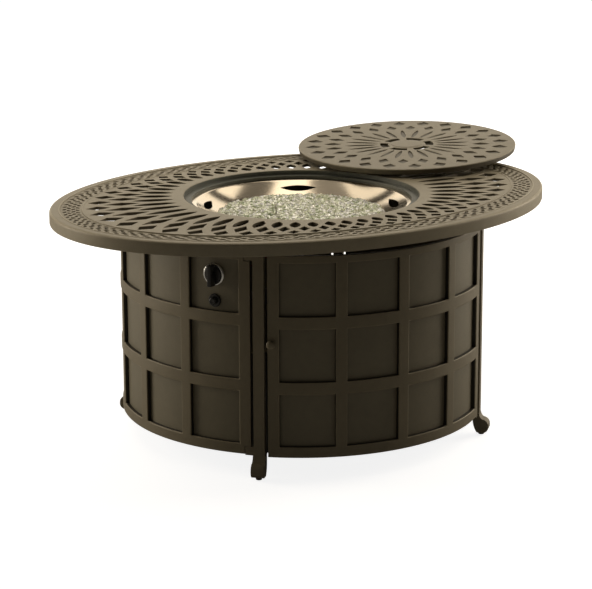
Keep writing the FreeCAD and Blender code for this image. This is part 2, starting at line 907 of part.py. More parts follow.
def make_button():
    face = panel_inner + igniter_bezel_depth
    button = peg(button_radius, face - button_stem_length, face + button_proud,
                 button_height)
    button = button.makeFillet(2.0, [edge for edge in button.Edges
                                     if edge.BoundBox.XMin > face])
    return turned(button, control_angle)


def bent_tube(points, radius, bend):
    """Round tube along straight runs joined by tangent arcs."""
    edges = []
    last = points[0]
    for before, corner, after in zip(points, points[1:], points[2:]):
        into = (corner - before).normalize()
        out = (after - corner).normalize()
        turn = into.getAngle(out)
        setback = bend * math.tan(turn / 2)
        start = corner - into * setback
        end = corner + out * setback
        inward = (out - into).normalize()
        crest = corner + inward * (bend / math.cos(turn / 2) - bend)
        edges.append(Part.LineSegment(last, start).toShape())
        edges.append(Part.Arc(start, crest, end).toShape())
        last = end
    edges.append(Part.LineSegment(last, points[-1]).toShape())
    path = Part.Wire(edges)
    circle = Part.Circle(points[0], points[1] - points[0], radius)
    section = Part.Wire(circle.toShape())
    return path.makePipeShell([section], True, False)


def mixer_bottom():
    return bowl_floor - bowl_sheet - mixer_length


def make_gas_pipe():
    start = valve_front() - valve_length - 14
    low = mixer_bottom() - 2.5 * pipe_bend
    route = [(start, knob_height), (start - 60, knob_height), (start - 130, low), (0, low),
             (0, mixer_bottom())]
    points = [point(x, control_angle, z) for x, z in route]
    return bent_tube(points, pipe_radius, pipe_bend)


def make_mixer():
    """Air mixer under the burner hub, with two air ports."""
    mixer = cylinder(mixer_radius, mixer_bottom(), bowl_floor - bowl_sheet)
    flange = cylinder(mixer_flange_radius, bowl_floor - bowl_sheet - mixer_flange_thick,
                      bowl_floor - bowl_sheet)
    mixer = mixer.fuse(flange).removeSplitter()
    port_height = mixer_bottom() + mixer_length / 3
    bore = cylinder(mixer_radius / 2, port_height - 8, bowl_floor - bowl_sheet)
    port = peg(mixer_port_radius, -2 * mixer_radius, 2 * mixer_radius, port_height)
    return mixer.cut([bore, port])


def make_lead():
    """Ignition lead from the igniter to the electrode's foot."""
    back = panel_inner + igniter_bezel_depth - igniter_barrel_length
    foot = point(electrode_reach, electrode_angle)
    low = bowl_floor - 60
    points = [point(back, control_angle, button_height),
              point(back - 50, control_angle, button_height),
              point(electrode_reach + 190, control_angle - 6, low),
              FreeCAD.Vector(foot.x, foot.y, low),
              FreeCAD.Vector(foot.x, foot.y, bowl_floor - ceramic_tail)]
    return bent_tube(points, lead_radius, lead_bend)


def build():
    pieces = {
        "table_top": make_table_top(),
        "opening_collar": make_collar(),
        "collar_screws": make_collar_screws(),
        "fire_bowl": make_bowl(),
        "bowl_clips": make_bowl_clips(),
        "burner": make_burner(),
        "fire_glass": make_fire_glass(),
        "electrode": make_electrode(),
        "burner_lid": make_lid(),
        "panel_left": make_panel(180.0, panel_bottom, True),
        "panel_right": make_panel(0.0, panel_bottom, True),
        "panel_back": make_panel(90.0, panel_bottom, True),
        "sheet_left": make_control_sheet(),
        "sheet_right": make_sheet(0.0, panel_bottom, True),
        "sheet_back": make_sheet(90.0, panel_bottom, True),
        "support_ring": make_support_ring(),
        "top_screws": make_top_screws(),
        "tank_shelf": make_shelf(),
        "shelf_screws": make_shelf_screws(),
        "door_frame": make_door_frame(),
        "door_sheet": make_sheet(-90.0, door_bottom, False),
        "door_pull": make_door_pull(),
        "door_strike": make_strike(),
        "door_catch": make_catch(),
        "hinge_bracket_lower": make_hinge_bracket(
            door_bottom - bracket_gap - bracket_thick, foot_width),
        "hinge_bracket_upper": make_hinge_bracket(
            door_bottom + panel_height + bracket_gap, post_width),
        "hinge_pins": make_hinge_pins(),
        "knob_bezel": make_bezel(),
        "gas_knob": make_knob(),
        "valve_stem": make_valve_stem(),
        "gas_valve": make_valve(),
        "igniter_body": make_igniter(),
        "igniter_nut": make_igniter_nut(),
        "igniter_button": make_button(),
        "gas_pipe": make_gas_pipe(),
        "air_mixer": make_mixer(),
        "ignition_lead": make_lead(),
    }
    for name, angle in post_angles.items():
        pieces["leg_" + name] = make_leg(name)
        pieces["glide_" + name] = make_glide(angle)
    return pieces


os.makedirs("parts", exist_ok=True)
for node, shape in build().items():
    shape.exportStep("parts/" + node + ".step")
    print(node, "solids", len(shape.Solids), "valid", shape.isValid(),
          "volume", round(shape.Volume))
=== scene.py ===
import json
import random
from math import atan2, ceil, cos, hypot, pi, radians, sin, sqrt

import bmesh
import bpy
from mathutils import Matrix, Vector
from mathutils.geometry import delaunay_2d_cdt


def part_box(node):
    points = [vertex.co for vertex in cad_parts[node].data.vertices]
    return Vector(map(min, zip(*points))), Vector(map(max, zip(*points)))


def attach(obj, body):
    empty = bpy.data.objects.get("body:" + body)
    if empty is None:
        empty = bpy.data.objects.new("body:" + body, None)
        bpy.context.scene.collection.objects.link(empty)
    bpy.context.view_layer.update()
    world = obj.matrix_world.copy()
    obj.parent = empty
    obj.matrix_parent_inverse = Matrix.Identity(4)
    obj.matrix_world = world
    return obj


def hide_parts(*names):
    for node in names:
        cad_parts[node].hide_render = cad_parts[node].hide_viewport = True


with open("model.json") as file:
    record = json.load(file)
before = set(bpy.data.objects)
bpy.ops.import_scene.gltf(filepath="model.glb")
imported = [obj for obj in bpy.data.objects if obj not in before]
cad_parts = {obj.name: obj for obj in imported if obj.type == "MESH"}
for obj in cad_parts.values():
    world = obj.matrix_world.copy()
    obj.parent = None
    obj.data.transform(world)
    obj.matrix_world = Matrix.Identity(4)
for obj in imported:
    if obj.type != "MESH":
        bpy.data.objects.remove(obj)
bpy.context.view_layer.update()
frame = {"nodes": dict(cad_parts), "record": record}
nodes = frame["nodes"]
scene = bpy.context.scene
scene.view_settings.view_transform = "Standard"
print("frame loaded:", len(nodes), "nodes")

# the photograph's own view
camera = {
    "place": (-3.19092719, -5.07731981, 1.91806251),
    "right": (0.84760224, -0.53062261, -0.0031744),
    "up": (0.13625105, 0.21185425, 0.96775691),
    "forward": (0.51284119, 0.82070544, -0.25186602),
    "lens": 140.45, "sensor": 36, "clipEnd": 40,
}


def addCamera():
    data = bpy.data.cameras.new("camera")
    data.sensor_width = camera["sensor"]
    data.lens = camera["lens"]
    data.clip_end = camera["clipEnd"]
    view = bpy.data.objects.new("camera", data)
    axes = Matrix((camera["right"], camera["up"], [-c for c in camera["forward"]]))
    view.matrix_world = Matrix.Translation(camera["place"]) @ axes.transposed().to_4x4()
    scene.collection.objects.link(view)
    scene.camera = view


# soft lamps overhead, at both sides and behind, above a white floor
# lamps: across, beyond and above the table as the camera sees it, aim height, size, level
studio = {
    "heading": 32.148, "lampColour": (1.0, 0.90, 0.74),
    "worldStrength": 0.05, "worldColour": (1.0, 0.92, 0.78),
    "lamps": {
        "ceilingMiddle": ((0.17, 1.0, 3.4), 0, (0.66, 3.2), 1.95),
        "ceilingLeft": ((-1.95, 1.6, 3.4), 0, (2.3, 3.4), 1.30),
        "ceilingRight": ((2.15, 1.6, 3.4), 0, (2.0, 3.4), 1.55),
        "gapLeft": ((-0.48, 1.3, 3.4), 0, (0.60, 3.2), 0.25),
        "gapRight": ((0.83, 1.3, 3.4), 0, (0.60, 3.2), 0.11),
        "left": ((-4.2, 0.8, 1.3), 0.35, (2.4, 2.6), 4.6),
        "right": ((3.85, 1.95, 1.4), 0.35, (2.4, 2.6), 4.8),
        "back": ((0.0, 4.4, 1.7), 0.5, (6.5, 2.8), 1.35),
    },
    "overheadFrom": 3.0, "floorRadius": 14, "floorCount": 96, "floorRoughness": 0.9,
    "floorColour": (0.50, 0.50, 0.50), "floorGlow": 0.86, "glowFrom": 1.3, "glowTo": 3.2,
}


def seenByCamera(tree):
    # one for rays that the camera sends out, also through glass
    path = tree.nodes.new("ShaderNodeLightPath")
    return addMath(tree, "MAXIMUM", path.outputs["Is Camera Ray"],
                   path.outputs["Is Transmission Ray"])


def addStudio():
    world = bpy.data.worlds.new("studio")
    scene.world = world
    world.use_nodes = True
    tree = world.node_tree
    background = tree.nodes["Background"]
    dim = [studio["worldStrength"] * c for c in studio["worldColour"]]
    tree.links.new(addMix(tree, seenByCamera(tree), (*dim, 1), (1, 1, 1, 1)),
                   background.inputs["Color"])
    turn = Matrix.Rotation(-radians(studio["heading"]), 4, "Z")
    for name, (spot, aimHeight, size, level) in studio["lamps"].items():
        data = bpy.data.lights.new(name, "AREA")
        data.shape = "RECTANGLE"
        data.size, data.size_y = size
        data.energy = level * pi * size[0] * size[1]
        data.color = studio["lampColour"]
        lamp = bpy.data.objects.new(name, data)
        aim = Vector((0, 0, -1))
        if spot[2] < studio["overheadFrom"]:
            aim = Vector((0, 0, aimHeight)) - Vector(spot)
        lamp.matrix_world = (turn @ Matrix.Translation(spot)
                             @ aim.to_track_quat("-Z", "Y").to_matrix().to_4x4())
        scene.collection.objects.link(lamp)


def addFloor():
    # glows white to the camera and still takes the table's shadow
    bm = bmesh.new()
    bmesh.ops.create_circle(bm, cap_ends=True, segments=studio["floorCount"],
                            radius=studio["floorRadius"])
    floor = newPiece("floor", bm, None)
    material = bpy.data.materials.new("floorWhite")
    material.use_nodes = True
    tree = material.node_tree
    shader = tree.nodes["Principled BSDF"]
    shader.inputs["Base Color"].default_value = (*studio["floorColour"], 1)
    shader.inputs["Roughness"].default_value = studio["floorRoughness"]
    shader.inputs["Emission Color"].default_value = (1, 1, 1, 1)
    away = tree.nodes.new("ShaderNodeVectorMath")
    away.operation = "LENGTH"
    tree.links.new(tree.nodes.new("ShaderNodeTexCoord").outputs["Object"],
                   away.inputs[0])
    glow = tree.nodes.new("ShaderNodeMapRange")
    tree.links.new(away.outputs["Value"], glow.inputs["Value"])
    for label, value in (("From Min", studio["glowFrom"]), ("From Max", studio["glowTo"]),
                         ("To Min", studio["floorGlow"]), ("To Max", 1.0)):
        glow.inputs[label].default_value = value
    tree.links.new(addMath(tree, "MULTIPLY", seenByCamera(tree), glow.outputs[0]),
                   shader.inputs["Emission Strength"])
    floor.data.materials.append(material)


# mesh helpers
def newShape():
    # a face value is kept from the start, where the coat is drawn lighter: rubbed coat and
    # painted highlight
    bm = bmesh.new()
    bm.faces.layers.float.new("rubAndHighlight")
    return bm


def newPiece(name, bm, material, smoothAngle=None):
    mesh = bpy.data.meshes.new(name)
    bm.to_mesh(mesh)
    bm.free()
    piece = bpy.data.objects.new(name, mesh)
    scene.collection.objects.link(piece)
    if material:
        mesh.materials.append(material)
    if smoothAngle is not None:
        mesh.shade_smooth()
        mesh.set_sharp_from_angle(angle=radians(smoothAngle))
    return piece


def place(piece, body, slot, *replaced):
    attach(piece, body)
    if replaced:
        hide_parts(*replaced)
    return piece


def bodyOf(node):
    for name, members in frame["record"]["behaviour"]["bodies"].items():
        if node in members:
            return name
    return "base"


def slotOf(node):
    for part in frame["record"]["subparts"]:
        if part["node"] == node:
            return part["material_slot"]


def stand(piece, node):
    # takes the node's place, on its body
    return place(piece, bodyOf(node), slotOf(node), node)


def applyModifiers(piece):
    graph = bpy.context.evaluated_depsgraph_get()
    graph.update()
    mesh = bpy.data.meshes.new_from_object(piece.evaluated_get(graph))
    piece.modifiers.clear()
    piece.data = mesh


def flattenShading(piece):
    # flat faces keep their own normals beside rounded edges
    weighted = piece.modifiers.new("weighted", "WEIGHTED_NORMAL")
    weighted.keep_sharp = True
    weighted.use_face_influence = False
    applyModifiers(piece)


def closedPiece(name, bm, smoothAngle, *materials):
    bmesh.ops.recalc_face_normals(bm, faces=bm.faces)
    piece = newPiece(name, bm, None, smoothAngle)
    for material in materials:
        piece.data.materials.append(material)
    flattenShading(piece)
    return piece


def addLoop(bm, points, z):
    return [bm.verts.new((x, y, z)) for x, y in points]


def bridge(bm, lower, upper):
    count = len(lower)
    made = []
    for i in range(count):
        j = (i + 1) % count
        made.append(bm.faces.new((lower[i], lower[j], upper[j], upper[i])))
    return made


def bridgeAll(bm, loops):
    # joins each loop to the next one
    return [bridge(bm, first, second) for first, second in zip(loops, loops[1:])]


def addRings(bm, shape, profile, count):
    # a loop of the shape at each size and height of a profile, joined in turn
    loops = [addLoop(bm, shape(size, count), z) for size, z in profile]
    return loops, bridgeAll(bm, loops)


def quarterRound(radius, steps):
    # insets and drops of a rounded edge, from its side to its face
    turns = [i * pi / (2 * steps) for i in range(steps + 1)]
    return [(radius * (1 - cos(t)), radius * (1 - sin(t))) for t in turns]


def rubAndHighlightEdges(bm, faces, amount=1.0):
    # marks rounded faces, where the coat is drawn lighter: rubbed coat and painted highlight
    layer = bm.faces.layers.float["rubAndHighlight"]
    for face in faces:
        face[layer] = amount


def fillBetween(bm, outer, holes, faceUp):
    # flat triangles inside the outer loop and outside each hole
    corners, loops = [], []
    for loop in [outer] + holes:
        loops.append(list(range(len(corners), len(corners) + len(loop))))
        corners += loop
    flat = [Vector((v.co.x, v.co.y)) for v in corners]
    result = delaunay_2d_cdt(flat, [], loops, 1, 1e-7)
    back = [corners[ids[0]] if ids else None for ids in result[3]]
    for face, owners in zip(result[2], result[5]):
        points = [back[i] for i in face]
        if owners != [0] or None in points:
            continue
        a, b, c = [p.co for p in points[:3]]
        up = (b.x - a.x) * (c.y - a.y) - (b.y - a.y) * (c.x - a.x) > 0
        if up != faceUp:
            points.reverse()
        bm.faces.new(points)


def spread(points, distance):
    # moves a counterclockwise outline outwards
    count = len(points)
    moved = []
    for i in range(count):
        before = Vector(points[i]) - Vector(points[i - 1])
        after = Vector(points[(i + 1) % count]) - Vector(points[i])
        first = Vector((before.y, -before.x)).normalized()
        second = Vector((after.y, -after.x)).normalized()
        both = first + second
        both /= max(both.length_squared / 2, 0.7)
        moved.append((points[i][0] + both.x * distance, points[i][1] + both.y * distance))
    return moved


def circle(radius, count):
    turns = [2 * pi * i / count for i in range(count)]
    return [(radius * cos(t), radius * sin(t)) for t in turns]


def oval(inset, count):
    turns = [2 * pi * i / count for i in range(count)]
    long, wide = tableTop["length"] / 2 - inset, tableTop["width"] / 2 - inset
    return [(long * cos(t), wide * sin(t)) for t in turns]


def bowedLeaf(tip, left, far, right, steps):
    # pointed opening with two bowed sides, counterclockwise
    outline = []
    for start, middle, end in ((tip, right, far), (far, left, tip)):
        for i in range(steps):
            t = i / steps
            control = 2 * Vector(middle) - (Vector(start) + Vector(end)) / 2
            point = ((1 - t) ** 2 * Vector(start) + 2 * t * (1 - t) * control
                     + t ** 2 * Vector(end))
            outline.append((point.x, point.y))
    return outline


def spindle(start, end, halfWidth, power, steps):
    # pointed opening that keeps its width longer than a bowed leaf
    run = end - start
    side = Vector((-run.y, run.x)).normalized() * halfWidth
    outline = []
    for first, way in ((0, -1), (1, 1)):
        for i in range(steps):
            t = i / steps if first == 0 else 1 - i / steps
            outline.append(tuple(start + run * t
                                 + side * way * (1 - abs(2 * t - 1) ** power)))
    return outline


def sinkOpening(bm, outline, top, bottom, rounding):
    # rounded mouth and wall of an opening; returns its top and bottom loops. The mouth is
    # drawn lighter, rubbed coat and painted highlight; the wall takes the second finish,
    # painted shade
    loops = [addLoop(bm, spread(outline, inset), top - drop)
             for inset, drop in reversed(quarterRound(rounding, 2))]
    loops.append(addLoop(bm, outline, bottom))
    strips = bridgeAll(bm, loops)
    rubAndHighlightEdges(bm, strips[0])
    # the wall is darkened as painted shade
    for face in strips[-1]:
        face.material_index = 1
    return loops[0], loops[-1]


def polar(radius, angle):
    return Vector((radius * cos(angle), radius * sin(angle)))


def upright(reach, angle):
    # sets a spun piece down at a distance and a direction in degrees
    return Matrix.Translation((*polar(reach, radians(angle)), 0))


def rodProfile(radius, low, high):
    return [(0, low), (radius, low), (radius, high), (0, high)]


# shader groups
def newGroup(name, inputs, outputs):
    group = bpy.data.node_groups.new(name, "ShaderNodeTree")
    for label, kind, value in inputs:
        socket = group.interface.new_socket(label, in_out="INPUT", socket_type=kind)
        socket.default_value = value
    for label, kind in outputs:
        group.interface.new_socket(label, in_out="OUTPUT", socket_type=kind)
    return group, group.nodes.new("NodeGroupInput"), group.nodes.new("NodeGroupOutput")


def feed(tree, socket, value):
    # links another node's output, or sets the input's own value
    if isinstance(value, bpy.types.NodeSocket):
        tree.links.new(value, socket)
    elif value is not None:
        socket.default_value = value


def addMath(tree, operation, first, second=None, clamp=False):
    node = tree.nodes.new("ShaderNodeMath")
    node.operation = operation
    node.use_clamp = clamp
    for socket, value in zip(node.inputs, (first, second)):
        feed(tree, socket, value)
    return node.outputs[0]


def addMix(tree, factor, first, second):
    node = tree.nodes.new("ShaderNodeMix")
    node.data_type = "RGBA"
    for index, value in ((0, factor), (6, first), (7, second)):
        feed(tree, node.inputs[index], value)
    return node.outputs[2]


def addNoise(tree, vector, scale, detail=3.0, roughness=0.55):
    node = tree.nodes.new("ShaderNodeTexNoise")
    for label, value in (("Vector", vector), ("Scale", scale), ("Detail", detail),
                         ("Roughness", roughness)):
        feed(tree, node.inputs[label], value)
    return node.outputs[0]


def addBlend(tree, first, firstShare, second, secondShare):
    # sum of two values, each times its share
    return addMath(tree, "ADD", addMath(tree, "MULTIPLY", first, firstShare),
                   addMath(tree, "MULTIPLY", second, secondShare))


def giveOut(tree, out, **results):
    for label, result in results.items():
        tree.links.new(result, out.inputs[label])


# powder coat: scales of its clouds, spots, patches of the lighter edge (rubbed coat and
# painted highlight) and relief, and their strengths
coatLook = {
    "cloudScale": 9.0, "spotScale": 42.0, "rubAndHighlightScale": 55.0, "reliefScale": 140.0,
    "rubAndHighlightFloor": 0.35, "dark": (0.020, 0.015, 0.009), "darkShare": 0.55, "fleck": 0.9,
    "roughFloor": 0.38, "roughSpread": 0.22, "relief": (0.7, 0.6), "bump": (0.35, 0.0006),
}


def makePowderCoatGroup():
    # textured powder coat: cloudy bronze wash, fine speckle and a lighter edge that is rubbed
    # coat and painted highlight
    group, given, out = newGroup(
        "powderCoat",
        [("Base", "NodeSocketColor", (0.2, 0.18, 0.14, 1)),
         ("Rub", "NodeSocketColor", (0.3, 0.27, 0.22, 1)),
         ("Wash", "NodeSocketFloat", 0.3), ("Wear", "NodeSocketFloat", 0.5),
         ("Grain", "NodeSocketFloat", 900.0)],
        [("Colour", "NodeSocketColor"), ("Roughness", "NodeSocketFloat"),
         ("Height", "NodeSocketFloat")])
    where = group.nodes.new("ShaderNodeTexCoord").outputs["Object"]
    look = coatLook
    cloud = addNoise(group, where, look["cloudScale"], 4.0, 0.6)
    spots = addNoise(group, where, look["spotScale"], 4.0, 0.65)
    speckle = addNoise(group, where, given.outputs["Grain"], 2.0, 0.6)
    relief = addNoise(group, where, look["reliefScale"])
    rubAndHighlight = group.nodes.new("ShaderNodeAttribute")
    rubAndHighlight.attribute_name = "rubAndHighlight"
    patchy = addMath(group, "ADD", addNoise(group, where, look["rubAndHighlightScale"]),
                     look["rubAndHighlightFloor"], True)
    edge = addMath(group, "MULTIPLY", rubAndHighlight.outputs["Fac"], patchy)
    dark = addMix(group, look["darkShare"], given.outputs["Base"], (*look["dark"], 1))
    cloudy = addMath(group, "MULTIPLY", addBlend(group, cloud, 0.5, spots, 0.5),
                     given.outputs["Wash"])
    washed = addMix(group, cloudy, given.outputs["Base"], dark)
    lit = addMath(group, "MULTIPLY", addMath(group, "SUBTRACT", speckle, 0.5, True),
                  look["fleck"])
    flecked = addMix(group, lit, washed, given.outputs["Rub"])
    # share of the lighter edge: rubbed coat and painted highlight
    rubAndHighlightShare = addMath(group, "MULTIPLY", edge, given.outputs["Wear"], True)
    rough = addMath(group, "MULTIPLY", speckle, look["roughSpread"])
    giveOut(group, out, Colour=addMix(group, rubAndHighlightShare, flecked, given.outputs["Rub"]),
            Roughness=addMath(group, "ADD", rough, look["roughFloor"]),
            Height=addBlend(group, speckle, look["relief"][0], relief, look["relief"][1]))
    return group


# spun metal: scale of its dull patches, how far the rings dull it, its relief
brushLook = {"patchScale": 16.0, "ringDull": 0.10, "roughFloor": 0.06,
             "bump": (0.10, 0.0003)}


def makeBrushGroup():
    # fine rings or streaks, as on spun or brushed metal
    group, given, out = newGroup(
        "brushMarks",
        [("Rings", "NodeSocketFloat", 700.0), ("Depth", "NodeSocketFloat", 1.0),
         ("Dull", "NodeSocketFloat", 0.12)],
        [("Height", "NodeSocketFloat"), ("Roughness", "NodeSocketFloat"),
         ("Tint", "NodeSocketFloat")])
    where = group.nodes.new("ShaderNodeTexCoord").outputs["Object"]
    apart = group.nodes.new("ShaderNodeSeparateXYZ")
    group.links.new(where, apart.inputs[0])
    x, y, z = apart.outputs
    across = addMath(group, "SQRT", addBlend(group, x, x, y, y))
    reach = group.nodes.new("ShaderNodeCombineXYZ")
    group.links.new(across, reach.inputs[0])
    group.links.new(z, reach.inputs[2])
    rings = addNoise(group, reach.outputs[0], given.outputs["Rings"], 3.0, 0.7)
    patch = addNoise(group, where, brushLook["patchScale"])
    dull = addBlend(group, rings, brushLook["ringDull"], patch, given.outputs["Dull"])
    giveOut(group, out, Tint=patch,
            Height=addMath(group, "MULTIPLY", rings, given.outputs["Depth"]),
            Roughness=addMath(group, "ADD", dull, brushLook["roughFloor"]))
    return group


# small parts: scale of the fine grain, colour and share of the dust, its relief
wearLook = {"fineScale": 1500.0, "dark": (0.05, 0.045, 0.04), "darkShare": 0.5,
            "roughSpread": 0.15, "bump": (0.12, 0.0003)}


def makeGrimeGroup():
    # dust and dull smears on small parts
    group, given, out = newGroup(
        "smallWear",
        [("Base", "NodeSocketColor", (0.5, 0.5, 0.5, 1)), ("Scale", "NodeSocketFloat", 60.0),
         ("Rough", "NodeSocketFloat", 0.3), ("Amount", "NodeSocketFloat", 0.4)],
        [("Colour", "NodeSocketColor"), ("Roughness", "NodeSocketFloat"),
         ("Height", "NodeSocketFloat")])
    where = group.nodes.new("ShaderNodeTexCoord").outputs["Object"]
    look = wearLook
    blot = addNoise(group, where, given.outputs["Scale"], 4.0, 0.6)
    dull = addMix(group, look["darkShare"], given.outputs["Base"], (*look["dark"], 1))
    share = addMath(group, "MULTIPLY", blot, given.outputs["Amount"])
    rough = addMath(group, "MULTIPLY", blot, look["roughSpread"])
    giveOut(group, out, Colour=addMix(group, share, given.outputs["Base"], dull),
            Roughness=addMath(group, "ADD", given.outputs["Rough"], rough),
            Height=addNoise(group, where, look["fineScale"], 2.0))
    return group


def newMaterial(name, metallic):
    material = bpy.data.materials.new(name)
    material.use_nodes = True
    shader = material.node_tree.nodes["Principled BSDF"]
    shader.inputs["Metallic"].default_value = metallic
    return material, material.node_tree, shader


def useGroup(tree, group, **values):
    node = tree.nodes.new("ShaderNodeGroup")
    node.node_tree = group
    for label, value in values.items():
        node.inputs[label].default_value = value
    return node.outputs


def addBump(tree, shader, height, strength, distance):
    bump = tree.nodes.new("ShaderNodeBump")
    bump.inputs["Strength"].default_value = strength
    bump.inputs["Distance"].default_value = distance
    tree.links.new(height, bump.inputs["Height"])
    tree.links.new(bump.outputs[0], shader.inputs["Normal"])


def dressShader(tree, shader, colour, results, bump):
    tree.links.new(colour, shader.inputs["Base Color"])
    tree.links.new(results["Roughness"], shader.inputs["Roughness"])
    addBump(tree, shader, results["Height"], *bump)


# the second colour and the wear share give the lighter edge, rubbed coat and painted
# highlight; the second colour also tints the speckle
def coated(name, base, rubAndHighlight, wash=0.5, wear=0.5, grain=900.0, metallic=0.12):
    material, tree, shader = newMaterial(name, metallic)
    coat = useGroup(tree, groups["coat"], Base=(*base, 1), Rub=(*rubAndHighlight, 1), Wash=wash,
                    Wear=wear, Grain=grain)
    dressShader(tree, shader, coat["Colour"], coat, coatLook["bump"])
    return material


def worn(name, base, rough=0.3, metallic=0.0, scale=60.0, amount=0.4):
    material, tree, shader = newMaterial(name, metallic)
    wear = useGroup(tree, groups["wear"], Base=(*base, 1), Scale=scale, Rough=rough,
                    Amount=amount)
    dressShader(tree, shader, wear["Colour"], wear, wearLook["bump"])
    return material


def spun(name, base, other, rings, dull):
    material, tree, shader = newMaterial(name, 1.0)
    marks = useGroup(tree, groups["brush"], Rings=rings, Dull=dull)
    colour = addMix(tree, marks["Tint"], (*base, 1), (*other, 1))
    dressShader(tree, shader, colour, marks, brushLook["bump"])
    return material


# glass chips: each keeps a tone of its own, from clear green to milky white
crystalLook = {
    "tones": ((0.0, (0.30, 0.38, 0.20)), (0.12, (0.78, 0.86, 0.58)),
              (0.40, (0.93, 0.95, 0.72)), (0.70, (1.0, 0.98, 0.90)),
              (1.0, (1.0, 1.0, 1.0))),
    "shader": {"IOR": 1.5, "Transmission Weight": 0.05, "Coat Weight": 1.0,
               "Specular IOR Level": 0.9, "Roughness": 0.08},
}


def crystal(name):
    material, tree, shader = newMaterial(name, 0.0)
    for label, value in crystalLook["shader"].items():
        shader.inputs[label].default_value = value
    tone = tree.nodes.new("ShaderNodeAttribute")
    tone.attribute_name = "tone"
    ramp = tree.nodes.new("ShaderNodeValToRGB")
    bar = ramp.color_ramp
    for position, colour in crystalLook["tones"][1:-1]:
        bar.elements.new(position)
    for element, (position, colour) in zip(bar.elements, crystalLook["tones"]):
        element.position = position
        element.color = (*colour, 1)
    tree.links.new(tone.outputs["Fac"], ramp.inputs[0])
    tree.links.new(ramp.outputs[0], shader.inputs["Base Color"])
    return material


groups = {"coat": makePowderCoatGroup(), "brush": makeBrushGroup(),
          "wear": makeGrimeGroup()}
finish = {
    "top": coated("topTaupe", (0.330, 0.284, 0.196), (0.50, 0.435, 0.315), 0.75, 0.6),
    "lid": coated("lidTaupe", (0.265, 0.230, 0.160), (0.40, 0.345, 0.25), 0.75, 0.5),
    "panel": coated("panelTaupe", (0.200, 0.168, 0.106), (0.32, 0.27, 0.18), 0.75, 0.6),
    # darker copy of the top's coat: painted shade on the walls of its openings and the floors
    # of its lace cells
    "hollowShade": coated("hollowShadeTaupe", (0.150, 0.126, 0.084), (0.20, 0.17, 0.12), 0.5, 0.0),
    # darker copy of the lid's coat: painted shade on the lid's outer edge, its underside rib
    # and its hollows
    "lidShade": coated("lidShadeTaupe", (0.110, 0.094, 0.062), (0.15, 0.13, 0.09), 0.6, 0.0),
    # near-black copy of the panel's coat: painted shade on the side walls of the panel bars
    "panelWallShade": coated("panelWallShadeTaupe", (0.018, 0.015, 0.009), (0.05, 0.042, 0.03), 0.4, 0.0),
    "sheet": coated("sheetTaupe", (0.192, 0.168, 0.112), (0.26, 0.23, 0.16), 0.75, 0.0),
    "liner": worn("linerGrey", (0.105, 0.110, 0.090), 0.42, 0.2, 40.0, 0.6),
    "shelf": worn("shelfBlack", (0.025, 0.024, 0.023), 0.5, 0.2, 20.0, 0.6),
    "bowl": spun("bowlSteel", (0.72, 0.63, 0.50), (0.64, 0.56, 0.45), 500.0, 0.06),
    "burner": spun("burnerSteel", (0.62, 0.58, 0.52), (0.45, 0.40, 0.36), 900.0, 0.3),
    "zinc": worn("zincPlate", (0.52, 0.52, 0.50), 0.32, 1.0, 90.0, 0.5),
    "chrome": worn("chromeTrim", (0.78, 0.78, 0.77), 0.08, 1.0, 50.0, 0.15),
    "black": worn("knobBlack", (0.012, 0.012, 0.012), 0.22, 0.0, 70.0, 0.3),
    "nylon": worn("glideNylon", (0.10, 0.065, 0.04), 0.5, 0.0, 60.0, 0.5),
    "brass": worn("valveBrass", (0.72, 0.52, 0.25), 0.28, 1.0, 45.0, 0.5),
    "pipe": worn("pipeAluminium", (0.66, 0.66, 0.65), 0.3, 1.0, 30.0, 0.4),
    "rod": worn("electrodeSteel", (0.20, 0.18, 0.16), 0.4, 1.0, 90.0, 0.6),
    "ceramic": worn("ceramicWhite", (0.80, 0.78, 0.72), 0.45, 0.0, 120.0, 0.25),
    "lead": worn("leadSleeve", (0.22, 0.03, 0.025), 0.5, 0.0, 80.0, 0.3),
    "glass": crystal("fireGlassChips"),
    "glassBed": worn("glassBedGreen", (0.78, 0.84, 0.62), 0.25, 0.0, 220.0, 0.6),
}
print("finishes made:", len(finish))


# oval top: rounded rim, lace band between two beads, lattice field round the opening
tableTop = {
    "length": 1.394, "width": 1.040, "height": 0.634,
    "rimHeight": 0.034, "rimWall": 0.009, "rimRound": 0.007, "plate": 0.008,
    "opening": 0.3125, "ringOut": 0.3345, "ringDrop": 0.012, "mouthRound": 0.002,
    "edgeBand": 0.028, "laceBand": 0.056, "laceDrop": 0.0015, "bead": 0.005,
    "beadRise": 0.0010,
    "laceCells": 104, "laceRows": 4, "cellLength": 0.0215, "cellWidth": 0.0105,
    "cellPitch": 0.0338, "fieldEdge": 0.006,
    "cellTilt": 24.0, "cellDepth": 0.0035, "cellRound": 0.0012,
    "pitches": 52, "slotWidth": 0.0275, "slotFullness": 2.3,
    "slotLevels": (0.03, 0.50),
    "diamonds": ((0.5, (0.40, 0.61, 0.80)), (0.0, (0.72, 0.87, 0.985))),
    "diamondSwing": 0.61, "cornerCut": 0.10, "openingRound": 0.0012,
    "ovalCount": 416, "circleCount": 208,
}


def ovalRadius(inset, angle):
    along = cos(angle) / (tableTop["length"] / 2 - inset)
    across = sin(angle) / (tableTop["width"] / 2 - inset)
    return 1 / hypot(along, across)


def latticePoint(angle, level, shift=0.0):
    inner = tableTop["ringOut"]
    border = tableTop["edgeBand"] + tableTop["laceBand"] + tableTop["fieldEdge"]
    outer = ovalRadius(border, angle)
    along = polar(inner + level * (outer - inner), angle)
    return along + polar(shift, angle + pi / 2)


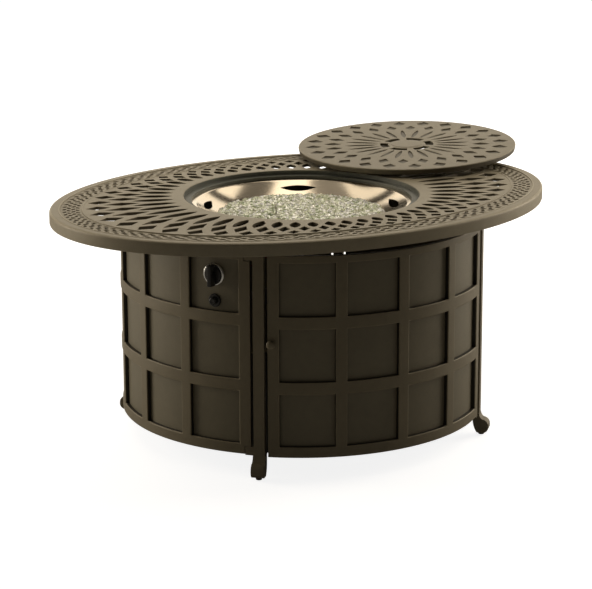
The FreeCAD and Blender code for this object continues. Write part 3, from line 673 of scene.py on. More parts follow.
def softened(corners, share):
    # cuts each corner of an outline with a short curve
    outline = []
    count = len(corners)
    for i in range(count):
        before, corner, after = corners[i - 1], corners[i], corners[(i + 1) % count]
        start = corner.lerp(before, share / 2)
        end = corner.lerp(after, share / 2)
        middle = (start + end + 2 * corner) / 4
        outline += [tuple(start), tuple(middle), tuple(end)]
    return outline


def slotOutline(angle):
    start, end = (latticePoint(angle, level) for level in tableTop["slotLevels"])
    return spindle(start, end, tableTop["slotWidth"] / 2, tableTop["slotFullness"], 10)


def diamondOutline(angle, levels):
    start, middle, end = levels
    swing = tableTop["diamondSwing"] * pi / tableTop["pitches"]
    corners = [latticePoint(angle, start), latticePoint(angle - swing, middle),
               latticePoint(angle, end), latticePoint(angle + swing, middle)]
    return softened(corners, tableTop["cornerCut"])


def laceOutlines():
    t = tableTop
    # staggered rows of tilted leaf cells that follow the oval
    cells = []
    count, rows = t["laceCells"], t["laceRows"]
    pitch = 2 * pi / count
    room = t["laceBand"] - 2 * t["bead"]
    for row in range(rows):
        inset = t["edgeBand"] + t["bead"] + room * (row + 0.5) / rows
        long, wide = t["length"] / 2 - inset, t["width"] / 2 - inset
        tilt = radians(t["cellTilt"] * (1 if row % 2 else -1))
        for i in range(count):
            turn = (i + 0.5 * (row % 2)) * pitch
            centre = Vector((long * cos(turn), wide * sin(turn)))
            along = Vector((-long * sin(turn), wide * cos(turn)))
            stretch = along.length * pitch / t["cellPitch"]
            along.normalize()
            along.rotate(Matrix.Rotation(tilt, 2))
            across = Vector((-along.y, along.x))
            tip = along * t["cellLength"] / 2 * stretch
            side = across * t["cellWidth"] / 2
            cells.append(bowedLeaf(centre - tip, centre + side, centre + tip,
                                   centre - side, 4))
    return cells


def sinkCell(bm, outline, top, depth, rounding, floorMaterial):
    # shallow recess with a rounded mouth and a floor darkened as painted shade, with its lower
    # wall
    loops = [addLoop(bm, spread(outline, rounding), top),
             addLoop(bm, spread(outline, rounding * 0.4), top - rounding * 0.35),
             addLoop(bm, outline, top - rounding * 1.2),
             addLoop(bm, spread(outline, -0.0008), top - depth)]
    bridgeAll(bm, loops)
    for face in [f for v in loops[-1] for f in v.link_faces]:
        face.material_index = floorMaterial
    floor = bm.faces.new(loops[-1])
    floor.material_index = floorMaterial
    return loops[0]


def makeTableTop():
    t = tableTop
    top = t["height"]
    under = top - t["plate"]
    rimBottom = top - t["rimHeight"]
    lace = top - t["laceDrop"]
    bead, rise = t["bead"], t["beadRise"]
    laceStart = t["edgeBand"]
    laceEnd = laceStart + t["laceBand"]
    count = t["ovalCount"]
    bm = newShape()

    profile = [(t["rimWall"], under), (t["rimWall"], rimBottom + 0.001),
               (t["rimWall"] - 0.001, rimBottom), (0.0025, rimBottom),
               (0.0008, rimBottom + 0.0008), (0.0, rimBottom + 0.0028)]
    profile += [(inset, top - drop)
                for inset, drop in quarterRound(t["rimRound"], 6)]
    profile += [(laceStart - bead, top), (laceStart - bead * 0.8, top + rise),
                (laceStart - bead * 0.2, top + rise), (laceStart, lace)]
    loops, strips = addRings(bm, oval, profile, count)
    # upper rounding of the rim and the bead's top are drawn lighter: rubbed coat and painted
    # highlight
    for strip in strips[8:11] + strips[-2:-1]:
        rubAndHighlightEdges(bm, strip, 0.8)
    underEdge, laceOuter = loops[0], loops[-1]

    profile = [(laceEnd - 0.001, lace), (laceEnd - 0.0005, top + rise * 0.5),
               (laceEnd + bead * 0.2, top + rise), (laceEnd + bead * 0.5, top + rise),
               (laceEnd + bead * 0.7, top)]
    loops = addRings(bm, oval, profile, count)[0]
    laceInner, fieldOuter = loops[0], loops[-1]
    cells = [sinkCell(bm, cell, lace, t["cellDepth"], t["cellRound"], 1)
             for cell in laceOutlines()]
    fillBetween(bm, laceOuter, [laceInner] + cells, True)

    pitch = 2 * pi / t["pitches"]
    outlines = [slotOutline(i * pitch) for i in range(t["pitches"])]
    for shift, levels in t["diamonds"]:
        outlines += [diamondOutline((i + shift) * pitch, levels)
                     for i in range(t["pitches"])]
    mouths, feet = zip(*[sinkOpening(bm, outline, top, under, t["openingRound"])
                         for outline in outlines])

    opening, mouthRound = t["opening"], t["mouthRound"]
    ringBottom = top - t["ringDrop"]
    profile = [(opening + mouthRound + 0.010, top), (opening + mouthRound, top),
               (opening + mouthRound * 0.3, top - mouthRound * 0.3),
               (opening, top - mouthRound), (opening, ringBottom),
               (t["ringOut"], ringBottom), (t["ringOut"], under)]
    loops = addRings(bm, circle, profile, t["circleCount"])[0]
    fillBetween(bm, fieldOuter, [loops[0], *mouths], True)
    fillBetween(bm, underEdge, [loops[-1], *feet], False)
    return stand(closedPiece("topCasting", bm, 34, finish["top"], finish["hollowShade"]),
                 "table_top")


# burner lid: drawn flat with its face at zero, then leaned and set aside on the top
lid = {
    "radius": 0.3098, "thick": 0.015, "plate": 0.007, "rimWidth": 0.009,
    "rimRound": 0.003, "ringOut": 0.250, "ringIn": 0.245, "ringDepth": 0.010,
    "lean": 2.47, "bearing": 27.04, "reach": 0.5884, "height": 0.67005,
    "fingers": 6, "fingerSpan": 42.0, "fingerRadii": (0.054, 0.076), "fingerTurn": 35.0,
    "petals": 24, "petalEnds": (0.082, 0.178), "petalWidth": 0.0125, "petalFullness": 2.6,
    "innerLeaf": (0.186, 0.211, 0.238), "outerLeaf": (0.243, 0.268, 0.292),
    "leafShare": 0.56, "cellDepth": 0.0034, "cellRound": 0.0012,
    "ribRadii": (0.0765, 0.0800), "ribDepth": 0.0145, "taper": 0.0022,
    "bossRadius": 0.043, "bossRise": 0.0012, "count": 192, "bossCount": 96,
    "cornerCut": 0.3, "mouthRound": 0.002,
}


def fingerOutline(middle):
    half = radians(lid["fingerSpan"] / 2)
    inner, outer = lid["fingerRadii"]
    steps = [middle - half + half * i / 6 for i in range(13)]
    outline = [polar(outer, t) for t in steps]
    outline += [polar(inner, t) for t in reversed(steps)]
    return [tuple(p) for p in outline]


def lidLeaf(radii, angle):
    swing = lid["leafShare"] * pi / lid["petals"]
    corners = [polar(radii[0], angle), polar(radii[1], angle - swing),
               polar(radii[2], angle), polar(radii[1], angle + swing)]
    return softened(corners, lid["cornerCut"])


def lidPlacing():
    bearing = radians(lid["bearing"])
    axis = Vector((*polar(1, bearing - pi / 2), 0))
    shift = Vector((*polar(lid["reach"], bearing), lid["height"]))
    return Matrix.Translation(shift) @ Matrix.Rotation(radians(lid["lean"]), 4, axis)


def makeLid():
    bm = newShape()
    radius, count = lid["radius"], lid["count"]
    profile = [(lid["ringOut"], -lid["plate"]), (radius - lid["rimWidth"], -lid["plate"]),
               (radius - lid["rimWidth"], -lid["thick"]),
               (radius - 0.001 - lid["taper"], -lid["thick"]),
               (radius - lid["taper"], -lid["thick"] + 0.001)]
    profile += [(radius - inset, -drop) for inset, drop in quarterRound(lid["rimRound"], 4)]
    loops, strips = addRings(bm, circle, profile, count)
    # chamfer and outer side of the rim take the second finish: painted shade
    for face in strips[4] + strips[3]:
        face.material_index = 1
    # top rounding of the lid's rim is drawn lighter: rubbed coat and painted highlight
    rubAndHighlightEdges(bm, strips[-1] + strips[-2], 0.7)
    ringTop, edge = loops[0], loops[-1]
    profile = [(lid["ringOut"], -lid["thick"] - lid["ringDepth"]),
               (lid["ringIn"], -lid["thick"] - lid["ringDepth"]),
               (lid["ringIn"], -lid["plate"])]
    inner = addRings(bm, circle, profile, count)[0]
    bridge(bm, ringTop, inner[0])

    pitch = 2 * pi / lid["petals"]
    shapes = []
    for i in range(lid["petals"]):
        angle = i * pitch
        start, end = (polar(radius, angle) for radius in lid["petalEnds"])
        shapes.append(spindle(start, end, lid["petalWidth"] / 2, lid["petalFullness"], 9))
        shapes.append(lidLeaf(lid["innerLeaf"], angle + pitch / 2))
        shapes.append(lidLeaf(lid["outerLeaf"], angle))
    holes = [sinkCell(bm, s, 0.0, lid["cellDepth"], lid["cellRound"], 1) for s in shapes]
    ribIn, ribOut = lid["ribRadii"]
    ribBottom = -lid["plate"] - lid["ribDepth"]
    profile = [(ribOut, -lid["plate"]), (ribOut, ribBottom), (ribIn, ribBottom),
               (ribIn, -lid["plate"])]
    rib, strips = addRings(bm, circle, profile, count)
    # the rib under the lid takes the second finish: painted shade
    for face in [f for strip in strips for f in strip]:
        face.material_index = 1
    fillBetween(bm, inner[-1], [rib[0]], False)
    feet = []
    for i in range(lid["fingers"]):
        middle = radians(360 * i / lid["fingers"] + lid["fingerTurn"])
        mouth, foot = sinkOpening(bm, fingerOutline(middle), 0.0, -lid["plate"],
                                  lid["mouthRound"])
        holes.append(mouth)
        feet.append(foot)
    boss, rise = lid["bossRadius"], lid["bossRise"]
    profile = [(boss + 0.001, 0.0), (boss, rise * 0.8), (boss - 0.0015, rise),
               (boss * 0.6, rise), (boss * 0.3, rise * 1.2)]
    loops = addRings(bm, circle, profile, lid["bossCount"])[0]
    bm.faces.new(loops[-1])
    holes.append(loops[0])
    fillBetween(bm, edge, holes, True)
    fillBetween(bm, rib[-1], feet, False)
    bm.transform(lidPlacing())
    return stand(closedPiece("lidCasting", bm, 34, finish["lid"], finish["lidShade"]),
                 "burner_lid")


print("top:", len(makeTableTop().data.polygons), "faces")
print("lid:", len(makeLid().data.polygons), "faces")


# turned pieces: a closed outline of radius and height, spun about an axis
def spin(bm, profile, count, placing=None):
    first = len(bm.verts)
    loops = [addLoop(bm, circle(r, count), z) if r > 1e-6 else [bm.verts.new((0, 0, z))]
             for r, z in profile]
    pairs = list(zip(loops, loops[1:])) + [(loops[-1], loops[0])]
    for lower, upper in pairs:
        if len(lower) == 1 and len(upper) == 1:
            continue
        if len(lower) == 1:
            for i in range(count):
                bm.faces.new((lower[0], upper[(i + 1) % count], upper[i]))
        elif len(upper) == 1:
            for i in range(count):
                bm.faces.new((lower[i], lower[(i + 1) % count], upper[0]))
        else:
            bridge(bm, lower, upper)
    bm.verts.ensure_lookup_table()
    if placing:
        bmesh.ops.transform(bm, matrix=placing, verts=bm.verts[first:])


def makeTurned(name, profiles, material, count=64, placing=None, smoothAngle=35):
    bm = newShape()
    for profile in profiles:
        spin(bm, profile, count, placing)
    return closedPiece(name, bm, smoothAngle, material)


def bowed(start, end, bow, steps):
    # points of a slightly bowed run, without its end
    run = Vector(end) - Vector(start)
    side = Vector((run.y, -run.x)).normalized() * bow
    return [tuple(Vector(start) + run * i / steps + side * 4 * i / steps * (1 - i / steps))
            for i in range(steps)]


# collar that lines the opening, with the ledge for the lid's ring
collar = {
    "wallOut": 0.3122, "wallIn": 0.3110, "wallTop": 0.6330, "shelf": 0.6220,
    "shelfUnder": 0.6195, "ledge": 0.2920, "lipOut": 0.2935, "lipBottom": 0.6140,
    "flange": 0.3305, "fold": 0.0016, "count": 208,
}


def makeCollar():
    c = collar
    fold = c["fold"]
    profile = [
        (c["wallOut"], c["wallTop"] - 0.0006), (c["wallOut"] - 0.0006, c["wallTop"]),
        (c["wallIn"], c["wallTop"] - 0.0006), (c["wallIn"], c["shelf"] + fold),
        (c["wallIn"] - fold * 0.3, c["shelf"] + fold * 0.3),
        (c["wallIn"] - fold, c["shelf"]), (c["ledge"] + fold, c["shelf"]),
        (c["ledge"] + fold * 0.3, c["shelf"] - fold * 0.3),
        (c["ledge"], c["shelf"] - fold), (c["ledge"], c["lipBottom"]),
        (c["lipOut"], c["lipBottom"]), (c["lipOut"], c["shelfUnder"]),
        (c["flange"], c["shelfUnder"]), (c["flange"], c["shelf"]),
        (c["wallOut"], c["shelf"])]
    return stand(makeTurned("openingCollar", [profile], finish["liner"], c["count"]),
                 "opening_collar")


# spun bowl with three pointed vents in its upper slope
bowl = {
    "top": 0.6137, "flange": 0.299, "edge": 0.279, "waist": 0.222, "floor": 0.150,
    "hub": 0.015, "waistDrop": 0.033, "floorDrop": 0.068, "sheet": 0.0018, "bow": 0.0015,
    "vents": (-21.0, 60.0, 141.0), "ventLength": 0.100, "ventWidth": 0.024,
    "ceramicReach": 0.092, "ceramicAngle": -169.0, "ceramicHole": 0.0048, "count": 192,
    "cutReach": 0.03, "ceramicCut": (0.53, 0.56),
}


def bowlSkin(drop):
    top = bowl["top"] - drop
    edge = (bowl["edge"], top)
    waist = (bowl["waist"], top - bowl["waistDrop"])
    floor = (bowl["floor"], top - bowl["floorDrop"])
    return edge, waist, floor


def makeBowl():
    b = bowl
    edge, waist, floor = bowlSkin(0)
    inner = [(b["flange"], b["top"]), (edge[0] + 0.003, edge[1]),
             (edge[0] + 0.0008, edge[1] - 0.0006)]
    inner += bowed((edge[0] - 0.001, edge[1] - 0.0014), waist, -b["bow"], 10)
    inner += bowed(waist, floor, -b["bow"], 10)
    inner += [floor, (b["hub"], floor[1])]
    edge, waist, floor = bowlSkin(b["sheet"])
    outer = [(b["hub"], floor[1]), floor]
    outer += bowed(floor, waist, b["bow"], 10)[1:]
    outer += bowed(waist, (edge[0] - 0.001, edge[1] - 0.0006), b["bow"], 10)
    outer += [(edge[0] + 0.001, edge[1]), (b["flange"], b["top"] - b["sheet"])]
    bm = newShape()
    spin(bm, inner + outer, b["count"])
    bmesh.ops.recalc_face_normals(bm, faces=bm.faces)
    piece = newPiece("fireBowl", bm, finish["bowl"], 40)

    cutters = newShape()
    slope = atan2(b["waistDrop"], b["edge"] - b["waist"])
    long, wide = b["ventLength"] / 2, b["ventWidth"] / 2
    ring = bowedLeaf(Vector((0, -long)), Vector((wide, 0)), Vector((0, long)),
                     Vector((-wide, 0)), 12)
    for angle in b["vents"]:
        low = addLoop(cutters, ring, -b["cutReach"])
        high = addLoop(cutters, ring, b["cutReach"])
        bridge(cutters, low, high)
        cutters.faces.new(high)
        cutters.faces.new(list(reversed(low)))
        moved = (Matrix.Rotation(radians(angle), 4, "Z")
                 @ Matrix.Translation(((b["edge"] + b["waist"]) / 2, 0,
                                       b["top"] - b["waistDrop"] / 2))
                 @ Matrix.Rotation(-slope, 4, "Y"))
        bmesh.ops.transform(cutters, matrix=moved, verts=low + high)
    spin(cutters, rodProfile(b["ceramicHole"], *b["ceramicCut"]), 24,
         upright(b["ceramicReach"], b["ceramicAngle"]))
    bmesh.ops.recalc_face_normals(cutters, faces=cutters.faces)
    cutPiece(piece, cutters)
    return stand(piece, "fire_bowl")


def cutPiece(piece, cutters):
    tool = newPiece("cutTool", cutters, None)
    cut = piece.modifiers.new("cut", "BOOLEAN")
    cut.object = tool
    cut.solver = "EXACT"
    applyModifiers(piece)
    bpy.data.objects.remove(tool)
    flattenShading(piece)


# bed of fire glass: a low lumpy mound under loose chips
fireGlass = {
    "edgeRadius": 0.2215, "edgeHeight": 0.5807, "floorRadius": 0.1494,
    "floorHeight": 0.5461, "floorShare": 0.8, "crown": 0.0062, "rings": 22, "count": 120,
    "lumps": 0.0016, "chips": 3600, "chipSize": 0.0068, "chipSpread": 0.55,
    "sink": 0.0002, "seed": 11, "turnSeed": 5, "toneSeed": 9, "turnMost": 6.283,
    "chipRough": (0.75, 1.25), "chipFlat": 0.72,
    "spotRings": 13, "spotCount": 72, "spotMargin": 0.003, "spotLift": 0.0005,
}


def makeGlassBed():
    g = fireGlass
    randomly = random.Random(g["seed"])
    bm = newShape()
    loops = []
    for i in range(g["rings"] + 1):
        share = 1 - i / (g["rings"] + 1)
        lift = g["crown"] * (1 - share ** 2)
        loop = addLoop(bm, circle(g["edgeRadius"] * share, g["count"]),
                       g["edgeHeight"] + lift)
        if i:
            for vert in loop:
                vert.co.z += randomly.uniform(-g["lumps"], g["lumps"] * 0.4)
        loops.append(loop)
    bridgeAll(bm, loops)
    bm.faces.new(loops[-1])
    wide, narrow = [addLoop(bm, circle(g["floorRadius"] * share, g["count"]),
                            g["floorHeight"]) for share in (1, g["floorShare"])]
    bridgeAll(bm, [narrow, wide, loops[0]])
    bm.faces.new(list(reversed(narrow)))
    bmesh.ops.recalc_face_normals(bm, faces=bm.faces)
    bed = newPiece("glassBed", bm, finish["glassBed"], 60)
    return stand(bed, "fire_glass")


def chipShape():
    # one broken chip, few faces, about a unit across
    randomly = random.Random(fireGlass["seed"] + 1)
    bm = newShape()
    bmesh.ops.create_icosphere(bm, subdivisions=1, radius=0.5)
    for vert in bm.verts:
        vert.co *= randomly.uniform(*fireGlass["chipRough"])
        vert.co.z *= fireGlass["chipFlat"]
    return newPiece("chipShape", bm, None)


def newTree(name, sockets):
    tree = bpy.data.node_groups.new(name, "GeometryNodeTree")
    tree.interface.new_socket("Geometry", in_out="INPUT", socket_type="NodeSocketGeometry")
    for label, kind in sockets:
        tree.interface.new_socket(label, in_out="INPUT", socket_type=kind)
    tree.interface.new_socket("Geometry", in_out="OUTPUT", socket_type="NodeSocketGeometry")
    return tree, tree.nodes.new("NodeGroupInput"), tree.nodes.new("NodeGroupOutput")


def runTree(piece, tree, values):
    # sets each named input, makes the result a plain mesh and drops the modifier
    change = piece.modifiers.new(tree.name, "NODES")
    change.node_group = tree
    for item in tree.interface.items_tree:
        if item.item_type == "SOCKET" and item.in_out == "INPUT" and item.name in values:
            change[item.identifier] = values[item.name]
    applyModifiers(piece)


def addNode(tree, kind, links, values=None):
    node = tree.nodes.new(kind)
    for label, value in (values or {}).items():
        setattr(node, label, value)
    for socket, source in links.items():
        feed(tree, node.inputs[socket], source)
    return node


def giveCopies(tree, given, out, copies):
    # makes the copies real and gives them their finish
    real = addNode(tree, "GeometryNodeRealizeInstances", {"Geometry": copies.outputs[0]})
    painted = addNode(tree, "GeometryNodeSetMaterial", {
        "Geometry": real.outputs[0], "Material": given.outputs["Finish"]})
    tree.links.new(painted.outputs[0], out.inputs[0])


def makeChips():
    g = fireGlass
    tree, given, out = newTree("scatterChips", [
        ("Density", "NodeSocketFloat"), ("Size", "NodeSocketFloat"),
        ("Spread", "NodeSocketFloat"), ("Sink", "NodeSocketFloat"),
        ("Chip", "NodeSocketObject"), ("Finish", "NodeSocketMaterial"),
        ("Seed", "NodeSocketInt")])
    spots = addNode(tree, "GeometryNodeDistributePointsOnFaces", {
        "Mesh": given.outputs["Geometry"], "Density": given.outputs["Density"],
        "Seed": given.outputs["Seed"]})
    drop = addNode(tree, "ShaderNodeCombineXYZ", {"Z": given.outputs["Sink"]})
    lowered = addNode(tree, "GeometryNodeSetPosition", {
        "Geometry": spots.outputs["Points"], "Offset": drop.outputs[0]})
    share = addNode(tree, "FunctionNodeRandomValue", {
        "Min": addMath(tree, "SUBTRACT", 1.0, given.outputs["Spread"]),
        "Max": addMath(tree, "ADD", 1.0, given.outputs["Spread"]),
        "Seed": given.outputs["Seed"]}, {"data_type": "FLOAT"})
    scale = addMath(tree, "MULTIPLY", share.outputs[1], given.outputs["Size"])
    turn = addNode(tree, "FunctionNodeRandomValue", {
        "Max": (g["turnMost"],) * 3, "Seed": g["turnSeed"]}, {"data_type": "FLOAT_VECTOR"})
    chip = addNode(tree, "GeometryNodeObjectInfo", {"Object": given.outputs["Chip"]})
    chips = addNode(tree, "GeometryNodeInstanceOnPoints", {
        "Points": lowered.outputs[0], "Instance": chip.outputs["Geometry"],
        "Rotation": turn.outputs[0], "Scale": scale})
    tone = addNode(tree, "FunctionNodeRandomValue", {"Seed": g["toneSeed"]},
                   {"data_type": "FLOAT"})
    named = addNode(tree, "GeometryNodeStoreNamedAttribute", {
        "Geometry": chips.outputs[0], "Name": "tone", "Value": tone.outputs[1]},
        {"data_type": "FLOAT", "domain": "INSTANCE"})
    giveCopies(tree, given, out, named)

    bm = newShape()
    rim = g["edgeRadius"] - g["spotMargin"]
    shares = [1 - i / g["spotRings"] for i in range(g["spotRings"])]
    profile = [(rim * share, g["edgeHeight"] + g["crown"] * (1 - share ** 2) + g["spotLift"])
               for share in shares]
    loops = addRings(bm, circle, profile, g["spotCount"])[0]
    bm.faces.new(loops[-1])
    piece = newPiece("glassChips", bm, None)
    chipObject = chipShape()
    runTree(piece, tree, {"Density": g["chips"] / (pi * rim ** 2),
                          "Size": g["chipSize"] * 2,
                          "Spread": g["chipSpread"], "Sink": g["sink"],
                          "Chip": chipObject, "Finish": finish["glass"],
                          "Seed": g["seed"]})
    bpy.data.objects.remove(chipObject)
    return place(piece, "base", "fire_glass")


print("collar:", len(makeCollar().data.polygons), "faces")
print("bowl:", len(makeBowl().data.polygons), "faces")
makeGlassBed()
print("glass chips:", len(makeChips().data.polygons), "faces")


# curved panels: a grid of rails and stiles, bent round the drum
panel = {
    "outer": 0.484, "inner": 0.473, "sheetInner": 0.471, "postHalf": 0.014, "gap": 0.008,
    "bottom": 0.062, "height": 0.522, "bottomRail": 0.028, "rail": 0.032,
    "window": 0.137, "rows": 3, "columns": 4, "stile": 0.030, "notchWidth": 0.0162,
    "notchHeight": 0.020, "edgeRound": 0.0024, "doorDrop": 0.004, "topRail": 0.019,
    "sheetEdge": 0.002, "barStep": 0.018, "upStep": 0.5, "sheetStep": 0.012,
}
sides = {"left": 180.0, "right": 0.0, "back": 90.0}


def panelHalf():
    return pi / 4 - (panel["postHalf"] + panel["gap"]) / panel["outer"]


def bend(bm, middle):
    # flat drawing to drum: x is arc length, y is radius, z is height
    for vert in bm.verts:
        turn = radians(middle) + vert.co.x / panel["outer"]
        vert.co = Vector((*polar(vert.co.y, turn), vert.co.z))


def divided(marks, longest):
    # adds lines between marks, so that no strip is longer than a given length
    lines = []
    for start, end in zip(marks, marks[1:]):
        count = max(1, ceil((end - start) / longest - 1e-6))
        lines += [start + (end - start) * i / count for i in range(count)]
    return lines + [marks[-1]]


def panelBars():
    p = panel
    reach = panelHalf() * p["outer"]
    window = (2 * reach - (p["columns"] + 1) * p["stile"]) / p["columns"]
    starts = [-reach + i * (window + p["stile"]) for i in range(p["columns"] + 1)]
    stiles = [(start, start + p["stile"]) for start in starts]
    rails = [(0.0, p["bottomRail"])]
    for row in range(1, p["rows"]):
        low = p["bottomRail"] + row * p["window"] + (row - 1) * p["rail"]
        rails.append((low, low + p["rail"]))
    rails.append((p["height"] - p["topRail"], p["height"]))
    return reach, stiles, rails


def makePanel(name, middle, bottom, notched):
    p = panel
    reach, stiles, rails = panelBars()
    acrossMarks = sorted({round(x, 6) for bar in stiles for x in bar})
    upMarks = sorted({round(z, 6) for bar in rails for z in bar})
    if notched:
        cut, tall = p["notchWidth"], p["notchHeight"]
        acrossMarks = sorted(acrossMarks + [round(cut - reach, 6), round(reach - cut, 6)])
        upMarks = sorted(upMarks + [tall, round(p["height"] - tall, 6)])
    across = divided(acrossMarks, p["barStep"])
    up = divided(upMarks, p["upStep"])

    def isBar(x, z):
        if notched and abs(x) > reach - cut and abs(z - p["height"] / 2) > (
                p["height"] / 2 - tall):
            return False
        return (any(a < x < b for a, b in stiles) or any(a < z < b for a, b in rails))

    bm = newShape()
    grid = {}
    for i, (x0, x1) in enumerate(zip(across, across[1:])):
        for j, (z0, z1) in enumerate(zip(up, up[1:])):
            if not isBar((x0 + x1) / 2, (z0 + z1) / 2):
                continue
            corners = []
            for a, b, x, z in ((i, j, x0, z0), (i + 1, j, x1, z0),
                               (i + 1, j + 1, x1, z1), (i, j + 1, x0, z1)):
                if (a, b) not in grid:
                    grid[a, b] = bm.verts.new((x, p["outer"], bottom + z))
                corners.append(grid[a, b])
            bm.faces.new(corners)
    front = list(bm.faces)
    pushed = bmesh.ops.extrude_face_region(bm, geom=front, use_keep_orig=True)["geom"]
    for vert in (v for v in pushed if isinstance(v, bmesh.types.BMVert)):
        vert.co.y = p["inner"]
    bmesh.ops.recalc_face_normals(bm, faces=bm.faces)
    for face in bm.faces:
        # side walls of the bars take the second finish, a near-black painted shade
        face.material_index = 0 if abs(face.normal.y) > 0.5 else 1
    face = p["outer"] - 1e-6
    rounded = [e for e in bm.edges if min(v.co.y for v in e.verts) > face
               and len(e.link_faces) == 2 and e.calc_face_angle() > 1.0]
    made = bmesh.ops.bevel(bm, geom=rounded, offset=p["edgeRound"], segments=3,
                           profile=0.55, affect="EDGES", clamp_overlap=True, material=0)
    # bevelled edges are drawn lighter: rubbed coat and painted highlight
    rubAndHighlightEdges(bm, made["faces"], 0.5)
    bend(bm, middle)
    bmesh.ops.triangulate(bm, faces=[f for f in bm.faces if len(f.verts) > 4])
    return closedPiece(name, bm, 40, finish["panel"], finish["panelWallShade"])


def makeSheet(name, middle, bottom, notched):
    p = panel
    reach = panelHalf() * p["outer"]
    side = p["notchWidth"] if notched else p["sheetEdge"]
    end = p["notchHeight"] if notched else p["sheetEdge"]
    across = divided([side - reach, reach - side], p["sheetStep"])
    low, high = bottom + end, bottom + p["height"] - end
    bm = newShape()
    skins = []
    for radius in (p["inner"], p["sheetInner"]):
        skins.append([(bm.verts.new((x, radius, low)), bm.verts.new((x, radius, high)))
                      for x in across])
    for rows in skins:
        for (a, b), (c, d) in zip(rows, rows[1:]):
            bm.faces.new((a, c, d, b))
    for pick in (0, 1):
        for (first, second), (third, fourth) in zip(
                zip(skins[0], skins[1]), zip(skins[0][1:], skins[1][1:])):
            bm.faces.new((first[pick], second[pick], fourth[pick], third[pick]))
    for pick in (0, -1):
        bm.faces.new((skins[0][pick][0], skins[0][pick][1],
                      skins[1][pick][1], skins[1][pick][0]))
    bend(bm, middle)
    bmesh.ops.recalc_face_normals(bm, faces=bm.faces)
    return newPiece(name, bm, finish["sheet"], 40)


def pegPlacing(angle, height):
    # turns a spun piece's axis outwards from the drum
    return (Matrix.Rotation(radians(angle), 4, "Z")
            @ Matrix.Translation((0, 0, height)) @ Matrix.Rotation(pi / 2, 4, "Y"))


# controls on the left panel: gas knob in its bezel, push igniter below
controls = {
    "angle": -149.4, "knobHeight": 0.5205, "buttonHeight": 0.453, "seat": 0.473,
    "stemHole": 0.009, "barrel": 0.0125, "cut": (0.46, 0.48),
}


def makePanels():
    for side, middle in sides.items():
        stand(makePanel("panelGrid_" + side, middle, panel["bottom"], True), "panel_" + side)
        sheet = makeSheet("panelSheet_" + side, middle, panel["bottom"], True)
        if side == "left":
            cutters = newShape()
            for radius, height in ((controls["stemHole"], controls["knobHeight"]),
                                   (controls["barrel"], controls["buttonHeight"])):
                spin(cutters, rodProfile(radius, *controls["cut"]), 40,
                     pegPlacing(controls["angle"], height))
            bmesh.ops.recalc_face_normals(cutters, faces=cutters.faces)
            cutPiece(sheet, cutters)
        else:
            flattenShading(sheet)
        stand(sheet, "sheet_" + side)
    bottom = panel["bottom"] - panel["doorDrop"]
    stand(makePanel("doorGrid", -90.0, bottom, False), "door_frame")
    sheet = makeSheet("doorSheet", -90.0, bottom, False)
    flattenShading(sheet)
    stand(sheet, "door_sheet")


# legs and other castings keep their solid's shape, with their edges rounded
castings = {
    "leg_front_left": ("panel", 0.0016), "leg_front_right": ("panel", 0.0016),
    "leg_back_right": ("panel", 0.0016), "leg_back_left": ("panel", 0.0016),
    "hinge_bracket_lower": ("panel", 0.0006), "hinge_bracket_upper": ("panel", 0.0006),
    "door_catch": ("black", 0.0008), "gas_valve": ("brass", 0.0008),
    "bowl_clips": ("zinc", 0.0006), "air_mixer": ("brass", 0.0008),
    "support_ring": ("panel", 0.0008), "tank_shelf": ("shelf", 0.0008),
    "door_strike": ("zinc", 0.0003), "valve_stem": ("zinc", 0.0004),
    "burner": ("burner", 0.0),
}
# points closer than weld are joined; flatter than flat isn't an edge, sharper is rounded
castEdges = {"weld": 2e-6, "flat": 1.0, "sharp": 50, "segments": 2}


def roundCasting(node, coat, width):
    source = nodes[node]
    bm = bmesh.new()
    bm.from_mesh(source.data)
    bm.faces.layers.float.new("rubAndHighlight")
    bmesh.ops.remove_doubles(bm, verts=bm.verts, dist=castEdges["weld"])
    bmesh.ops.dissolve_limit(bm, angle_limit=radians(castEdges["flat"]),
                             verts=bm.verts, edges=bm.edges)
    if width:
        sharp = [e for e in bm.edges if len(e.link_faces) == 2
                 and e.calc_face_angle() > radians(castEdges["sharp"])]
        made = bmesh.ops.bevel(bm, geom=sharp, offset=width, profile=0.6,
                               segments=castEdges["segments"], affect="EDGES",
                               clamp_overlap=True)
        # bevelled edges are drawn lighter: rubbed coat and painted highlight
        rubAndHighlightEdges(bm, made["faces"], 0.6)
    piece = newPiece("made_" + node, bm, finish[coat], 30)
    flattenShading(piece)
    return stand(piece, node)


# glides under the feet
glide = {
    "radius": 0.008, "height": 0.0075, "stem": 0.003, "stemTop": 0.0175, "reach": 0.491,
    "angles": {"front_left": -135.0, "front_right": -45.0, "back_right": 45.0,
               "back_left": 135.0},
}


def makeGlides():
    g = glide
    profile = [(0, 0), (g["radius"] - 0.002, 0), (g["radius"] - 0.0006, 0.0006),
               (g["radius"], 0.002), (g["radius"], g["height"] - 0.001),
               (g["radius"] - 0.001, g["height"]), (g["stem"], g["height"]),
               (g["stem"], g["stemTop"]), (0, g["stemTop"])]
    for name, angle in g["angles"].items():
        stand(makeTurned("glidePad_" + name, [profile], finish["nylon"], 40,
                         upright(g["reach"], angle)), "glide_" + name)


# screws: each set stands on a ring or at the ends of a few rays
screws = {
    "top": {"share": 1.27, "radius": 0.468, "seat": 0.622, "head": 0.0075, "rise": 0.004,
            "shank": 0.004, "depth": 0.008, "down": False},
    "collar": {"count": 6, "radius": 0.3235, "seat": 0.6195, "head": 0.0045,
               "rise": 0.0022, "shank": 0.0022, "depth": 0.0075, "down": False},
    "shelf": {"seat": 0.0665, "head": 0.0042, "rise": 0.0022, "shank": 0.0022,
              "depth": 0.0075, "down": True},
}


